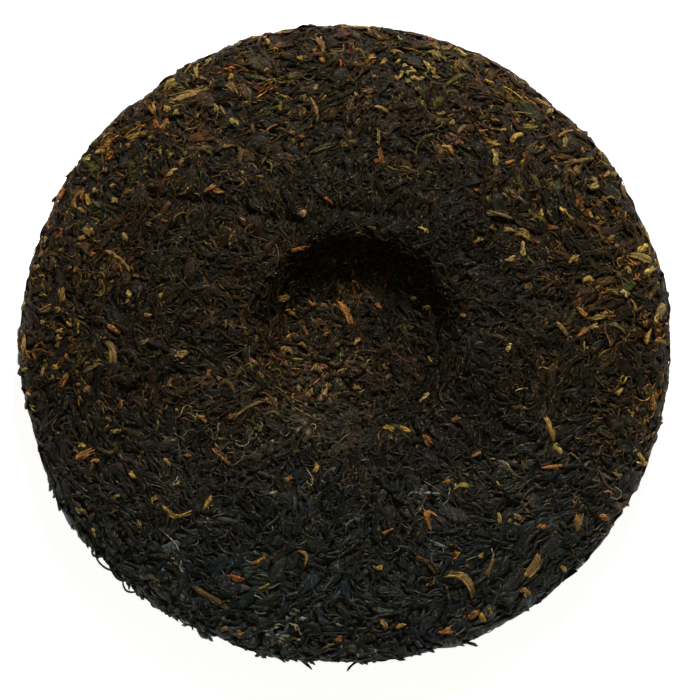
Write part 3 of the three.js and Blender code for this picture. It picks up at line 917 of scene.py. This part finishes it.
# Narrow shreds, many of them curled
curledShreds = {
    **anyStrand, "seed": 13, "count": 5200, "rings": 5, "spread": 0.8, "mapShape": 4.0,
    "length": (3.0, 11.0), "width": (0.35, 1.1), "thickness": (0.25, 0.55), "blunt": 1.9,
    "uneven": 0.3, "curl": 0.9, "wiggle": 1.1, "tilt": 0.35, "twist": 0.8, "lift": (0.05, 0.36),
    "dip": 0.6, "crease": 0.05, "crumple": 0.04, "press": (0.4, 0.55), "edgeDark": 0.0,
    "section": [(-1, -0.5), (0.1, 1), (1, -0.5)],
    "colours": {**darkMix, "ash": 2.2, "russet": 0.8, "tawny": 1.0, "honey": 0.3, "tan": 0.2, "olive": 0.15},
}
# Broken bits that fill in between
brokenBits = {
    **anyStrand, "seed": 14, "count": 3800, "rings": 3, "spread": 1.4, "mapShape": 1.4,
    "length": (1.6, 6.0), "width": (0.5, 2.0), "thickness": (0.25, 0.5), "blunt": 1.7,
    "uneven": 0.5, "curl": 0.5, "wiggle": 0.5, "tilt": 0.3, "twist": 0.5, "lift": (-0.05, 0.3),
    "dip": 0.3, "crease": 0.1, "crumple": 0.1, "press": (0.34, 0.5), "fade": 0.25, "edgeDark": 0.1,
    "section": [(-1, -0.3), (0.1, 0.9), (1, -0.3), (0, -1.3)],
    "colours": {**darkMix, "ash": 1.2, "russet": 0.8, "tawny": 1.3, "honey": 0.4, "tan": 0.15, "olive": 0.2},
}
# Smooth flat leaves that lie on top here and there
smoothLeaves = {
    **broadLeaves, "seed": 18, "count": 320, "length": (6.0, 13.0), "width": (2.5, 5.5),
    "thickness": (0.2, 0.35), "lift": (0.1, 0.3), "dip": 0.35, "crease": 0.05, "crumple": 0.05,
    "press": (0.34, 0.43), "darkest": 0.75,
    "colours": {"soot": 2.5, "pitch": 2.0, "plum": 2.0, "bark": 1.5}, "candidates": 2,
}
# Golden and orange buds, thickest near the rim and in a few patches
goldenBuds = {
    **anyStrand, "seed": 15, "bundle": 4, "scatter": 0.5, "candidates": 8, "count": 2700, "rings": 4,
    "spread": 1.0, "mapShape": 3.0, "length": (1.6, 6.0), "width": (0.4, 1.0), "thickness": (0.4, 0.8),
    "blunt": 2.2, "uneven": 0.35, "curl": 0.6, "wiggle": 0.6, "tilt": 0.3, "twist": 0.5,
    "lift": (-0.05, 0.35), "dip": 0.7, "wave": 0.1, "crease": 0.08, "crumple": 0.08,
    "press": (0.45, 0.75), "fade": 0.6, "edgeDark": 0.15, "darkest": 0.3, "hues": 0.08, "paintedCoolShare": 0.4,
    "section": [(-1, -0.2), (0.1, 0.95), (1, -0.2), (0, -1.2)],
    "colours": {"gold": 0.35, "amber": 0.35, "straw": 0.2, "olive": 1.6, "tan": 1.0, "rust": 0.4,
                "blush": 0.4, "tawny": 6.5, "honey": 2.6},
}
# Fine threads of leaf that wind over the rest
fineThreads = {
    **anyStrand, "seed": 16, "count": 3600, "rings": 6, "spread": 1.0, "mapShape": 6.0,
    "length": (5.0, 16.0), "width": (0.26, 0.5), "thickness": (0.3, 0.45), "blunt": 4.0,
    "uneven": 0.15, "curl": 0.9, "wiggle": 1.5, "tilt": 0.3, "twist": 0.5, "lift": (0.2, 0.45),
    "dip": 0.8, "wave": 0.1, "crease": 0.0, "crumple": 0.02, "press": (0.44, 0.6), "edgeDark": 0.0,
    "section": [(-1, -0.6), (0, 1), (1, -0.6)], "hues": 0.1, "paintedCoolShare": 0.75,
    "colours": {"ash": 3.2, "bark": 1.8, "umber": 1.2, "plum": 0.8, "russet": 0.6, "tawny": 1.2, "tan": 0.3},
}
# Loose ends that stick out of the rim, most of them on the near left
rimStrays = {
    **brokenBits, "seed": 17, "count": 520, "candidates": 16, "length": (2.2, 5.0), "width": (1.2, 2.8),
    "thickness": (0.8, 1.5), "stand": (0.5, 1.7), "loop": False, "lift": (-0.4, 0.1), "dip": 0.1,
    "press": (2.5, 3.0), "blunt": 8.0, "colours": darkMix,
}


# Buds show most towards the rim on the left, right and far sides, by the hollow's left lip, and in
# patches. A lip is its weight, x, y, width and depth.
budShares = {
    "everywhere": 0.06,
    "nearSide": 0.2,  # of what the other sides have
    "rim": 1.5,
    "patches": 0.9,
    "lips": [(0.7, -22, 20, 12, 12), (1.4, -15, 2, 11, 11)],
}


def budPlaces(direction, points):
    x, y = points[:, 0], points[:, 1]
    rim = ramp(np.hypot(x, y) / meanRadius, 0.6, 0.3)
    sides = budShares["nearSide"] + (1 - budShares["nearSide"]) * ramp(y, -75, 50)
    patches = np.clip(patchField(points, 2.2) + 0.15, 0, 1) ** 1.5
    lips = sum(weight * softSpot(points, *spot) for weight, *spot in budShares["lips"])
    spread = budShares["rim"] * rim + budShares["patches"] * patches
    return budShares["everywhere"] + spread * sides + lips


# Small strands thin out towards the near side, where broad leaves lie smooth.
def strandPlaces(direction, points):
    return 0.3 + 0.7 * ramp(points[:, 1], -95, 50) + 0.25 * patchField(points, 7.0)


# Smooth leaves lie clear of the hollow.
def smoothPlaces(direction, points):
    away = np.hypot(points[:, 0] - hollow["x"], points[:, 1] - hollow["y"])
    return ramp(away, 1.15 * hollow["reach"], 12)


# The edge is crumbled from the left round to the near side, and hardly elsewhere.
def crumbledPlaces(direction, points):
    turn = np.arctan2(points[:, 1], points[:, 0])
    crumbled = 0.03 + np.exp(-(((turn + 1.95) / 0.75) ** 4))
    return crumbled * np.exp(-(((points[:, 2] - cake["rimHeight"] - 1) / 4) ** 2))


for name, look, material, favours in [
    ("broadLeaves", broadLeaves, broadLeaf, None),
    ("rolledLeaves", rolledLeaves, narrowLeaf, None),
    ("curledShreds", curledShreds, narrowLeaf, strandPlaces),
    ("brokenBits", brokenBits, narrowLeaf, strandPlaces),
    ("fineThreads", fineThreads, narrowLeaf, strandPlaces),
    ("smoothLeaves", smoothLeaves, smoothLeaf, smoothPlaces),
    ("goldenBuds", goldenBuds, goldenBud, budPlaces),
    ("rimStrays", rimStrays, narrowLeaf, crumbledPlaces),
]:
    finishPiece(scatterStrands(name, look, favours), material)

# The buds and stalks that stand out in the photograph, by their colour. Each is its width in
# millimetres, and then the two or three pixels that it runs through.
seenBuds = {
    "gold": [
        (1.9, 94, 151, 100, 150, 107, 149), (1.1, 86, 193, 88, 200, 87, 206), (1.2, 126, 147, 130, 143),
        (0.9, 42, 325, 44, 320), (1.1, 57, 341, 60, 334), (1.3, 52, 370, 59, 366),
        (0.9, 24, 400, 28, 392, 32, 398), (1.0, 158, 298, 163, 293), (1.1, 151, 101, 153, 107, 152, 115),
        (1.1, 163, 106, 172, 110), (1.2, 173, 112, 180, 115), (1.7, 125, 139, 133, 136, 140, 131),
        (1.3, 296, 60, 304, 61), (1.1, 228, 81, 234, 75), (1.1, 292, 141, 296, 140),
        (1.0, 366, 65, 369, 59, 376, 57), (1.0, 379, 66, 384, 62, 385, 58), (1.1, 393, 78, 400, 80),
        (1.0, 411, 66, 415, 75), (0.9, 431, 68, 435, 76), (0.9, 443, 150, 448, 151),
        (1.0, 486, 141, 499, 144), (1.5, 500, 131, 508, 129), (1.4, 508, 140, 516, 137, 524, 132),
        (1.2, 568, 136, 566, 143, 568, 148), (0.8, 578, 127, 583, 132),
        (1.3, 560, 206, 565, 213, 574, 223), (1.3, 589, 210, 592, 219), (1.0, 596, 217, 599, 220),
        (2.2, 514, 232, 524, 233, 531, 240), (1.6, 636, 253, 643, 248, 648, 243),
        (0.9, 641, 222, 645, 230), (1.6, 569, 263, 574, 259, 580, 255),
        (1.8, 582, 280, 588, 280, 595, 280), (1.3, 650, 328, 646, 337, 645, 345),
        (0.8, 632, 329, 635, 332), (1.0, 167, 388, 173, 377), (1.2, 382, 427, 395, 430),
        (1.1, 399, 426, 413, 432), (1.9, 546, 415, 551, 432, 554, 444), (1.7, 637, 451, 645, 468),
        (1.0, 615, 395, 623, 388), (1.2, 313, 474, 318, 462), (1.7, 163, 504, 175, 516, 197, 511),
        (1.3, 205, 511, 211, 493), (1.1, 151, 503, 158, 497), (1.3, 128, 473, 138, 477),
        (0.9, 296, 551, 306, 556, 299, 572), (1.3, 452, 490, 461, 486, 471, 488),
        (1.1, 479, 559, 484, 552), (1.1, 374, 570, 383, 566), (1.1, 396, 628, 407, 624),
        (1.4, 480, 612, 485, 622), (1.1, 488, 607, 493, 615), (1.1, 560, 566, 568, 572),
        (0.9, 78, 446, 86, 444),
    ],
    "amber": [
        (1.1, 102, 147, 111, 143), (1.3, 76, 208, 73, 200, 85, 187), (0.9, 79, 200, 84, 190),
        (1.1, 90, 257, 94, 252), (1.3, 73, 273, 77, 266), (1.2, 33, 270, 39, 264),
        (0.9, 64, 360, 69, 355), (1.9, 57, 388, 63, 380, 67, 371), (1.0, 76, 385, 82, 384),
        (1.0, 84, 388, 92, 391), (1.5, 106, 324, 114, 329, 122, 332), (0.8, 164, 109, 169, 113),
        (1.3, 168, 117, 166, 124, 162, 132), (1.1, 148, 141, 152, 135), (0.9, 104, 144, 112, 143),
        (1.2, 202, 193, 209, 188, 216, 183), (1.1, 212, 190, 225, 193), (0.9, 304, 60, 309, 58),
        (0.9, 453, 60, 456, 64, 455, 70), (1.3, 447, 145, 453, 155), (1.6, 504, 163, 516, 160),
        (1.0, 556, 137, 566, 132, 577, 127), (0.9, 656, 262, 659, 268),
        (1.4, 575, 306, 582, 312, 588, 317), (1.1, 578, 338, 583, 332, 590, 326),
        (0.9, 643, 320, 644, 328), (0.9, 654, 339, 661, 341), (1.0, 290, 252, 299, 248, 308, 246),
        (2.1, 337, 301, 345, 312, 350, 329), (1.3, 307, 301, 317, 306), (1.2, 311, 373, 319, 366),
        (0.9, 346, 360, 350, 366), (0.8, 354, 383, 356, 391), (0.9, 265, 398, 270, 403),
        (1.5, 460, 316, 466, 314), (1.0, 538, 468, 564, 465), (1.1, 471, 457, 482, 453),
        (0.9, 653, 393, 652, 414), (1.2, 284, 482, 292, 476), (0.9, 250, 564, 263, 559, 276, 557),
        (1.5, 218, 629, 229, 627), (1.2, 236, 631, 243, 634), (1.1, 442, 483, 451, 481),
        (1.3, 438, 519, 427, 514, 434, 538), (0.9, 382, 535, 395, 528), (1.3, 453, 561, 458, 549),
        (1.8, 437, 633, 452, 629), (1.2, 467, 618, 480, 610), (1.2, 333, 641, 344, 639),
        (1.3, 598, 514, 608, 520), (1.2, 535, 528, 546, 524), (1.2, 90, 460, 101, 462),
        (1.9, 75, 459, 96, 449), (1.2, 198, 414, 207, 423), (1.0, 474, 189, 481, 191),
        (1.2, 490, 226, 496, 229),
    ],
    "honey": [
        (1.1, 76, 209, 85, 214), (1.4, 83, 226, 90, 238), (1.0, 91, 227, 93, 236),
        (1.0, 77, 239, 86, 238), (0.8, 132, 276, 140, 277), (1.0, 96, 170, 101, 173),
        (1.2, 61, 285, 62, 295, 61, 303), (1.8, 38, 312, 53, 308), (1.2, 105, 137, 114, 133),
        (0.9, 168, 160, 172, 152), (0.8, 143, 175, 146, 170), (2.0, 226, 84, 234, 88, 240, 96),
        (0.8, 222, 146, 233, 147), (1.0, 288, 131, 296, 134), (0.9, 308, 128, 313, 126),
        (0.9, 258, 113, 264, 109), (1.2, 341, 144, 349, 147), (0.9, 423, 48, 433, 47, 440, 53),
        (0.9, 440, 52, 447, 48, 453, 46), (0.9, 360, 92, 375, 91), (0.8, 363, 96, 373, 98),
        (1.1, 562, 163, 577, 161, 592, 157), (1.0, 575, 168, 581, 176), (1.0, 548, 210, 552, 218),
        (1.0, 606, 238, 616, 237), (1.6, 277, 300, 290, 296), (1.3, 284, 310, 297, 315),
        (1.1, 298, 342, 308, 347), (1.0, 322, 335, 333, 332),
    ],
    "straw": [
        (1.3, 112, 197, 117, 204), (1.0, 42, 243, 46, 236), (0.9, 47, 230, 49, 226),
        (1.0, 145, 157, 146, 161), (0.8, 158, 155, 160, 148), (0.9, 151, 184, 153, 186),
        (1.0, 22, 308, 26, 300), (0.9, 56, 333, 63, 328), (1.4, 23, 356, 26, 345),
        (1.2, 22, 371, 27, 368), (1.2, 127, 289, 129, 299), (0.7, 124, 303, 129, 299),
        (1.2, 163, 92, 168, 82, 178, 84), (1.0, 199, 79, 196, 72, 200, 62), (0.9, 82, 160, 92, 155),
        (0.8, 218, 144, 219, 139), (1.0, 236, 46, 242, 43), (1.2, 267, 40, 269, 47),
        (0.9, 205, 64, 212, 58), (1.3, 228, 119, 235, 122, 240, 125), (1.2, 312, 90, 319, 86),
        (0.8, 324, 31, 328, 31), (0.9, 337, 82, 339, 84), (1.3, 363, 28, 369, 31, 372, 36),
        (0.9, 355, 50, 361, 52), (0.8, 372, 76, 376, 78), (1.2, 395, 64, 401, 62),
        (0.9, 398, 80, 403, 72), (1.2, 404, 81, 412, 82), (1.0, 410, 77, 419, 80),
        (1.2, 416, 81, 425, 78), (1.0, 401, 68, 408, 66), (0.9, 405, 75, 410, 72),
        (1.1, 424, 60, 429, 75), (1.2, 414, 88, 421, 91), (1.6, 454, 46, 460, 52, 468, 55),
        (0.8, 397, 38, 402, 42), (1.0, 355, 92, 356, 98), (0.7, 490, 105, 493, 108),
        (0.8, 436, 115, 447, 113), (1.3, 448, 124, 455, 120), (1.2, 495, 150, 497, 168),
        (1.1, 492, 148, 497, 160), (0.8, 518, 117, 521, 117), (1.2, 547, 112, 556, 107),
        (0.8, 553, 166, 559, 170), (2.4, 587, 185, 594, 187, 601, 184), (1.3, 613, 171, 616, 177),
        (0.8, 502, 193, 508, 196), (1.4, 645, 222, 649, 232, 652, 245),
        (1.5, 641, 277, 650, 271, 658, 266), (1.2, 614, 244, 618, 249), (0.8, 582, 274, 585, 276),
        (1.4, 620, 290, 625, 293, 629, 297), (0.9, 588, 328, 599, 325),
        (2.3, 661, 302, 660, 312, 656, 326), (1.0, 668, 322, 669, 335), (0.8, 655, 283, 659, 284),
        (0.7, 416, 226, 425, 230, 428, 240), (2.0, 522, 240, 525, 257), (1.1, 504, 261, 518, 258),
        (0.9, 217, 376, 221, 380), (1.0, 162, 438, 177, 440), (0.9, 418, 402, 430, 394),
        (0.8, 428, 356, 432, 363), (1.5, 553, 443, 561, 455), (0.8, 505, 352, 512, 344),
        (1.1, 93, 526, 98, 538), (0.7, 498, 511, 500, 525), (1.2, 523, 577, 531, 571),
        (0.8, 542, 208, 541, 217),
    ],
    "tan": [
        (2.0, 162, 101, 186, 96, 209, 87), (1.0, 91, 188, 97, 193), (1.2, 110, 184, 115, 188),
        (0.8, 92, 237, 96, 241), (0.8, 37, 258, 43, 252), (1.0, 120, 232, 128, 243),
        (0.9, 42, 378, 44, 365), (0.9, 143, 316, 153, 314), (1.0, 199, 78, 207, 81),
        (0.9, 166, 103, 178, 100), (1.2, 110, 125, 117, 121), (1.4, 184, 157, 187, 151),
        (1.0, 178, 165, 184, 158), (1.0, 165, 178, 172, 172, 180, 167), (0.8, 214, 103, 217, 113),
        (0.8, 220, 105, 226, 117), (0.8, 311, 96, 316, 110, 317, 124), (1.8, 316, 38, 321, 46, 325, 54),
        (0.8, 341, 29, 349, 29), (0.9, 351, 28, 362, 28), (0.8, 431, 78, 441, 78),
        (0.9, 373, 106, 382, 109, 390, 114), (0.8, 378, 128, 379, 146),
        (1.3, 534, 95, 545, 103, 553, 106), (1.2, 568, 168, 572, 174), (1.2, 588, 179, 600, 181),
        (1.3, 604, 177, 611, 171), (2.0, 503, 229, 515, 229), (1.8, 628, 255, 640, 258, 655, 262),
        (1.2, 627, 265, 630, 275), (1.2, 588, 318, 600, 318, 608, 312),
        (1.1, 554, 323, 561, 329, 569, 338), (1.9, 100, 252, 119, 258, 131, 277),
        (2.0, 105, 340, 113, 352, 114, 367), (2.4, 173, 357, 190, 353),
        (1.3, 279, 350, 287, 350, 294, 356), (1.5, 331, 381, 325, 393, 318, 403),
        (0.9, 409, 297, 417, 299), (1.2, 312, 365, 324, 371), (1.0, 352, 345, 361, 338),
        (0.9, 110, 431, 123, 431), (1.9, 441, 577, 463, 577, 474, 598), (1.1, 380, 620, 388, 630),
        (1.1, 513, 513, 522, 519), (2.3, 541, 554, 534, 566, 524, 579), (1.8, 523, 587, 529, 597),
        (1.7, 579, 511, 577, 533), (1.5, 296, 217, 307, 211),
    ],
    "olive": [
        (1.4, 57, 251, 62, 250), (0.9, 42, 281, 44, 279), (3.2, 164, 89, 178, 83),
        (1.2, 279, 101, 282, 111), (1.1, 304, 94, 305, 103), (1.2, 304, 107, 305, 115),
        (1.4, 390, 50, 397, 54), (0.8, 434, 123, 441, 120), (2.0, 522, 123, 530, 127, 540, 125),
        (0.8, 551, 131, 551, 136), (0.9, 596, 285, 598, 292), (1.0, 603, 293, 610, 290, 618, 293),
        (0.9, 630, 298, 634, 306, 633, 313), (0.9, 658, 342, 667, 343), (0.9, 472, 242, 484, 240),
        (1.1, 422, 307, 431, 307), (0.9, 382, 364, 388, 370), (1.1, 257, 432, 263, 424),
        (1.0, 183, 455, 192, 456), (1.0, 76, 507, 88, 511), (0.9, 112, 500, 120, 494),
        (1.0, 257, 590, 270, 584), (1.3, 485, 578, 493, 558), (1.0, 610, 470, 618, 478),
        (0.8, 194, 119, 200, 114),
    ],
    "rust": [
        (0.9, 57, 240, 62, 228), (0.9, 118, 263, 122, 273), (0.8, 160, 220, 170, 222),
        (0.8, 97, 404, 101, 400), (1.0, 152, 118, 160, 129), (0.8, 298, 138, 306, 137),
        (0.9, 300, 144, 304, 147), (0.9, 370, 64, 377, 60), (0.8, 463, 110, 466, 105),
        (1.8, 379, 148, 380, 156, 387, 168), (1.0, 375, 165, 380, 158), (0.9, 541, 108, 546, 111),
        (0.9, 532, 199, 537, 201), (0.7, 548, 150, 551, 154), (0.9, 631, 279, 641, 280),
        (0.9, 568, 336, 573, 341), (1.1, 323, 196, 334, 206), (0.9, 546, 227, 560, 227),
        (1.0, 375, 303, 382, 310), (1.2, 303, 325, 307, 337), (0.9, 207, 368, 209, 379),
        (0.9, 159, 410, 163, 415), (1.0, 227, 420, 239, 413), (1.0, 422, 434, 434, 445),
        (1.0, 450, 421, 461, 417), (1.4, 224, 575, 247, 580), (1.0, 466, 564, 469, 569),
    ],
    "blush": [
        (0.9, 141, 251, 143, 255), (0.9, 103, 172, 106, 166), (0.8, 80, 180, 86, 179),
        (0.9, 56, 348, 60, 341), (0.8, 590, 233, 594, 237), (0.9, 615, 274, 622, 276),
        (1.4, 210, 445, 232, 467), (1.0, 163, 458, 172, 467), (1.1, 425, 438, 431, 448),
    ],
    "russet": [
        (1.2, 68, 341, 73, 336), (1.7, 190, 585, 211, 598, 234, 616),
        (0.8, 413, 557, 427, 562, 438, 577),
    ],
    "ash": [
        (0.8, 93, 201, 101, 208), (1.2, 145, 222, 150, 226), (0.9, 137, 345, 150, 338),
        (1.0, 82, 375, 92, 368, 103, 364), (0.8, 252, 121, 253, 133), (1.0, 243, 147, 238, 166),
        (1.1, 306, 155, 320, 149, 335, 143), (1.2, 456, 134, 462, 129, 468, 125),
        (0.7, 505, 185, 515, 195, 530, 204), (0.9, 484, 212, 498, 214, 520, 221),
        (0.9, 608, 322, 618, 326, 627, 337), (1.0, 229, 421, 248, 408, 267, 400),
    ],
}
budLook = {
    **goldenBuds, "seed": 21, "rings": 5, "lift": (0.35, 0.6), "dip": 0.5, "press": (0.6, 0.85), "blunt": 2.4,
    "fade": 0.35, "uneven": 0.7, "crease": 0.16, "crumple": 0.2, "thickness": (0.4, 0.7), "twist": 0.8,
    "fibre": 0.45,  # one for each so many millimetres of width, and two more
    "fibreWidth": (0.45, 1.0),
    "fibreReach": (0.25, 1.1),  # times half the bud's length
    "bend": 1.1,  # in pixels
    "stray": 0.8,  # in pixels, at a fibre's ends
    "bodyFrom": 0.75,  # a bud wider than this has one fibre that is as wide as itself
    "bodyAside": 0.15,  # of what other fibres lie off the curve
    "bodyShade": 0.85,
    "widest": (0.1, 0.36),  # millimetres, and more for each millimetre of length
    "shortShade": (0.12, 0.3),  # the same for a short bud's lightness, which ends at 1
    "lightness": (0.68, 1.65),
    "dulled": 0.8,  # towards a tawny brown, at most
    "hueDrift": (0.045, 0.15, 0.15),
    "tint": (1.1, 1.04, 0.78),
}


# Each bud is a few fibres side by side, which follow one smooth curve through its pixels: the
# parabola through three, or the line through two. Each fibre runs over its own part of it, and off it
# by aside + turn * place + bend * sin(3 * place + phase). A broad bud's first fibre is its body, which
# runs all along it. Short buds are narrower and darker.
def makeSeenBuds(look):
    draws = np.random.default_rng(look["seed"])
    strokes = [(colour, *stroke) for colour, rows in seenBuds.items() for stroke in rows]
    fibres = [round(stroke[1] / look["fibre"]) + 2 for stroke in strokes]
    of = np.repeat(np.arange(len(strokes)), fibres)
    count = len(of)
    seen = [np.reshape(stroke[2:], (-1, 2)) for stroke in strokes]
    first, last = (np.array([run[end] for run in seen], float)[of, None] for end in (0, -1))
    middle = np.array([run[1] if len(run) == 3 else run.mean(0) for run in seen], float)[of, None]
    reach = np.linalg.norm(last - first, axis=-1) * photo["pixel"]
    wide = np.array([stroke[1] for stroke in strokes])[of, None]
    wide = np.minimum(wide, look["widest"][0] + look["widest"][1] * reach)
    body = (np.concatenate([[True], of[1:] != of[:-1]]) & (wide[:, 0] > look["bodyFrom"]))[:, None]

    half = np.where(body, 1.0, draws.uniform(*look["fibreReach"], (count, 1)))
    start = draws.uniform(-1, 1, (count, 1)) * np.where(body, 0, np.maximum(1.05 - half, 0.05))
    place = np.linspace(-1, 1, look["rings"] + 2)[None]
    along = (start + half * place)[..., None]
    pixels = first * along * (along - 1) / 2 + middle * (1 - along**2) + last * along * (along + 1) / 2
    aside = draws.uniform(-0.5, 0.5, (count, 1)) * wide / photo["pixel"]
    aside = aside + look["stray"] * draws.normal(0, 1, (count, 1)) * place
    bend = look["bend"] * draws.normal(0, 0.6, (count, 1))
    aside = np.where(body, look["bodyAside"], 1) * aside
    aside = aside + bend * np.sin(3 * place + draws.uniform(0, 6, (count, 1)))
    way = unit(last - first)
    pixels = pixels + aside[..., None] * np.stack([-way[..., 1], way[..., 0]], -1)

    colour = np.array([leafColours[stroke[0]] for stroke in strokes])[of]
    dulled = look["dulled"] * draws.uniform(0, 1, (count, 1)) ** 2
    colour = colour * (1 - dulled) + leafColours["tawny"] * dulled
    colour = colour * draws.uniform(*look["lightness"], (count, 1))
    colour = colour * (1 + draws.uniform(-1, 1, (count, 3)) * look["hueDrift"])
    shade = np.minimum(1, look["shortShade"][0] + look["shortShade"][1] * reach)
    colour = colour * np.where(body, look["bodyShade"], 1) * shade * look["tint"]
    width = draws.uniform(*look["fibreWidth"], count) * np.minimum(1, 0.5 + 0.5 * wide[:, 0])
    width = np.minimum(np.where(body[:, 0], wide[:, 0], width), wide[:, 0])
    print("seenBuds", len(strokes), "buds of", count, "fibres")
    return layStrands("seenBuds", look, draws, photoToSkin(pixels), width, colour)


finishPiece(makeSeenBuds(budLook), goldenBud)

# Loops and a hook of leaf that stand off the edge on the near left, each by its turn round the cake, its
# height, heading from the way round, length and width, in millimetres; how far each stands off is drawn from
# its look
edgeLoops = {
    "look": {**fineThreads, "seed": 22, "rings": 11, "loop": True, "stand": (1.4, 2.4), "curl": 0.2,
             "wiggle": 0.3, "lift": (-0.4, 0.0), "dip": 0.2, "press": (5.0, 6.0), "blunt": 6.0,
             "thickness": (0.7, 1.0)},
    "strands": [(-134, 12, 0.2, 9, 1.5), (-137, 11, -0.2, 10, 1.3), (-131, 10, 0.1, 7, 1.3),
                (-139, 12, 0.3, 6, 1.2)],
}
edgeHooks = {
    "look": {**rimStrays, "seed": 23, "rings": 9, "stand": (2.6, 3.6), "curl": 0.7, "press": (5.0, 6.0),
             "blunt": 6.0},
    "strands": [(-116, 12, -1.3, 8, 2.6), (-115, 11, -0.7, 6, 2.0), (-104, 9, 2.9, 6, 1.1),
                (-97, 10, 0.1, 5, 1.3), (-119, 10, -2.0, 5, 1.2), (-150, 12, 0.2, 6, 1.0),
                (-88, 10, 2.9, 6, 1.1), (-68, 11, 0.1, 5, 1.2)],
}


# Strands at given turns round the side: the height picks the profile's point on the upright wall.
def standAtEdge(name, edge):
    draws = np.random.default_rng(edge["look"]["seed"])
    turn, height, heading, length, width = np.array(edge["strands"], float).T
    turn = np.radians(turn)
    level = 2 * np.interp(height, meridian["height"], meridian["area"]) - 1
    flat = np.sqrt(1 - level**2)
    centre = np.stack([flat * np.cos(turn), flat * np.sin(turn), level], -1)
    directions = strandPaths(edge["look"], draws, centre, heading, length)
    colour = np.tile(leafColours["soot"] * 1.3, (len(turn), 1))
    finishPiece(layStrands(name, edge["look"], draws, directions, width, colour), narrowLeaf)
    print(name, len(turn), "strands")


standAtEdge("edgeLoops", edgeLoops)
standAtEdge("edgeHooks", edgeHooks)

# A wide pale floor that glows a little, as on a light table, and soft lights: the key comes low
# over the far edge, as the hollow's shadow shows, and a cool fill from the near side.
studio = {
    "floorSize": 6.0,
    "floorColour": (226, 226, 226),
    "floorGlow": 0.92,
    "keyFrom": (0.16, 0.88, 0.71),
    "keyAway": 1.3,
    "keySize": 0.28,
    "keyWatts": 12.7,
    "keyTint": (1.0, 0.94, 0.84),
    "fillFrom": (-0.3, -0.9, 0.9),
    "fillAway": 1.6,
    "fillSize": 1.1,
    "fillWatts": 0.7,
    "fillTint": (0.7, 0.86, 1.0),
    "skyStrength": 0.09,
    "skyTint": (1.0, 0.88, 0.3),
}


# A round lamp that stands the given way off and faces the middle of the scene.
def addAreaLight(name, toward, away, size, watts, tint):
    light = bpy.data.lights.new(name, "AREA")
    light.shape = "DISK"
    light.size = size
    light.energy = watts
    light.color = tint
    lamp = bpy.data.objects.new(name, light)
    bpy.context.scene.collection.objects.link(lamp)
    lamp.location = unit(np.array(toward)) * away
    lamp.rotation_mode = "QUATERNION"
    lamp.rotation_quaternion = lamp.location.to_track_quat("Z", "Y")


def makeStudio():
    half = studio["floorSize"] / 2
    mesh = bpy.data.meshes.new("floor")
    corners = [(-half, -half, 0), (half, -half, 0), (half, half, 0), (-half, half, 0)]
    mesh.from_pydata(corners, [], [(0, 1, 2, 3)])
    floor = bpy.data.objects.new("floor", mesh)
    bpy.context.scene.collection.objects.link(floor)
    paper = bpy.data.materials.new("paleFloor")
    paper.use_nodes = True
    shader = paper.node_tree.nodes["Principled BSDF"]
    shader.inputs["Base Color"].default_value = (*shaderColour(*studio["floorColour"]), 1)
    shader.inputs["Roughness"].default_value = 0.9
    shader.inputs["Specular IOR Level"].default_value = 0.1
    shader.inputs["Emission Color"].default_value = (1, 1, 1, 1)
    shader.inputs["Emission Strength"].default_value = studio["floorGlow"]
    mesh.materials.append(paper)
    parts = ("From", "Away", "Size", "Watts", "Tint")
    for name in ("key", "fill"):
        addAreaLight(name + "Light", *(studio[name + part] for part in parts))
    world = bpy.data.worlds.new("studioSky")
    world.use_nodes = True
    world.node_tree.nodes["Background"].inputs["Color"].default_value = (*studio["skyTint"], 1)
    world.node_tree.nodes["Background"].inputs["Strength"].default_value = studio["skyStrength"]
    bpy.context.scene.world = world


# The photograph's camera: the lens that makes its pixels as large as they are at the rim's height.
def makeCamera():
    data = bpy.data.cameras.new("photoCamera")
    data.sensor_width = photo["sensor"]
    data.lens = photo["sensor"] * photo["away"] / (photo["pixels"] * photo["pixel"])
    data.clip_start, data.clip_end = 0.05, 50
    camera = bpy.data.objects.new("photoCamera", data)
    bpy.context.scene.collection.objects.link(camera)
    camera.location = photoView()[0] * metre
    camera.rotation_euler = (np.pi / 2 - photo["elevation"], 0, 0)
    bpy.context.scene.camera = camera


makeStudio()
makeCamera()
bpy.context.scene.view_settings.view_transform = "Standard"
print("made the studio and the camera")
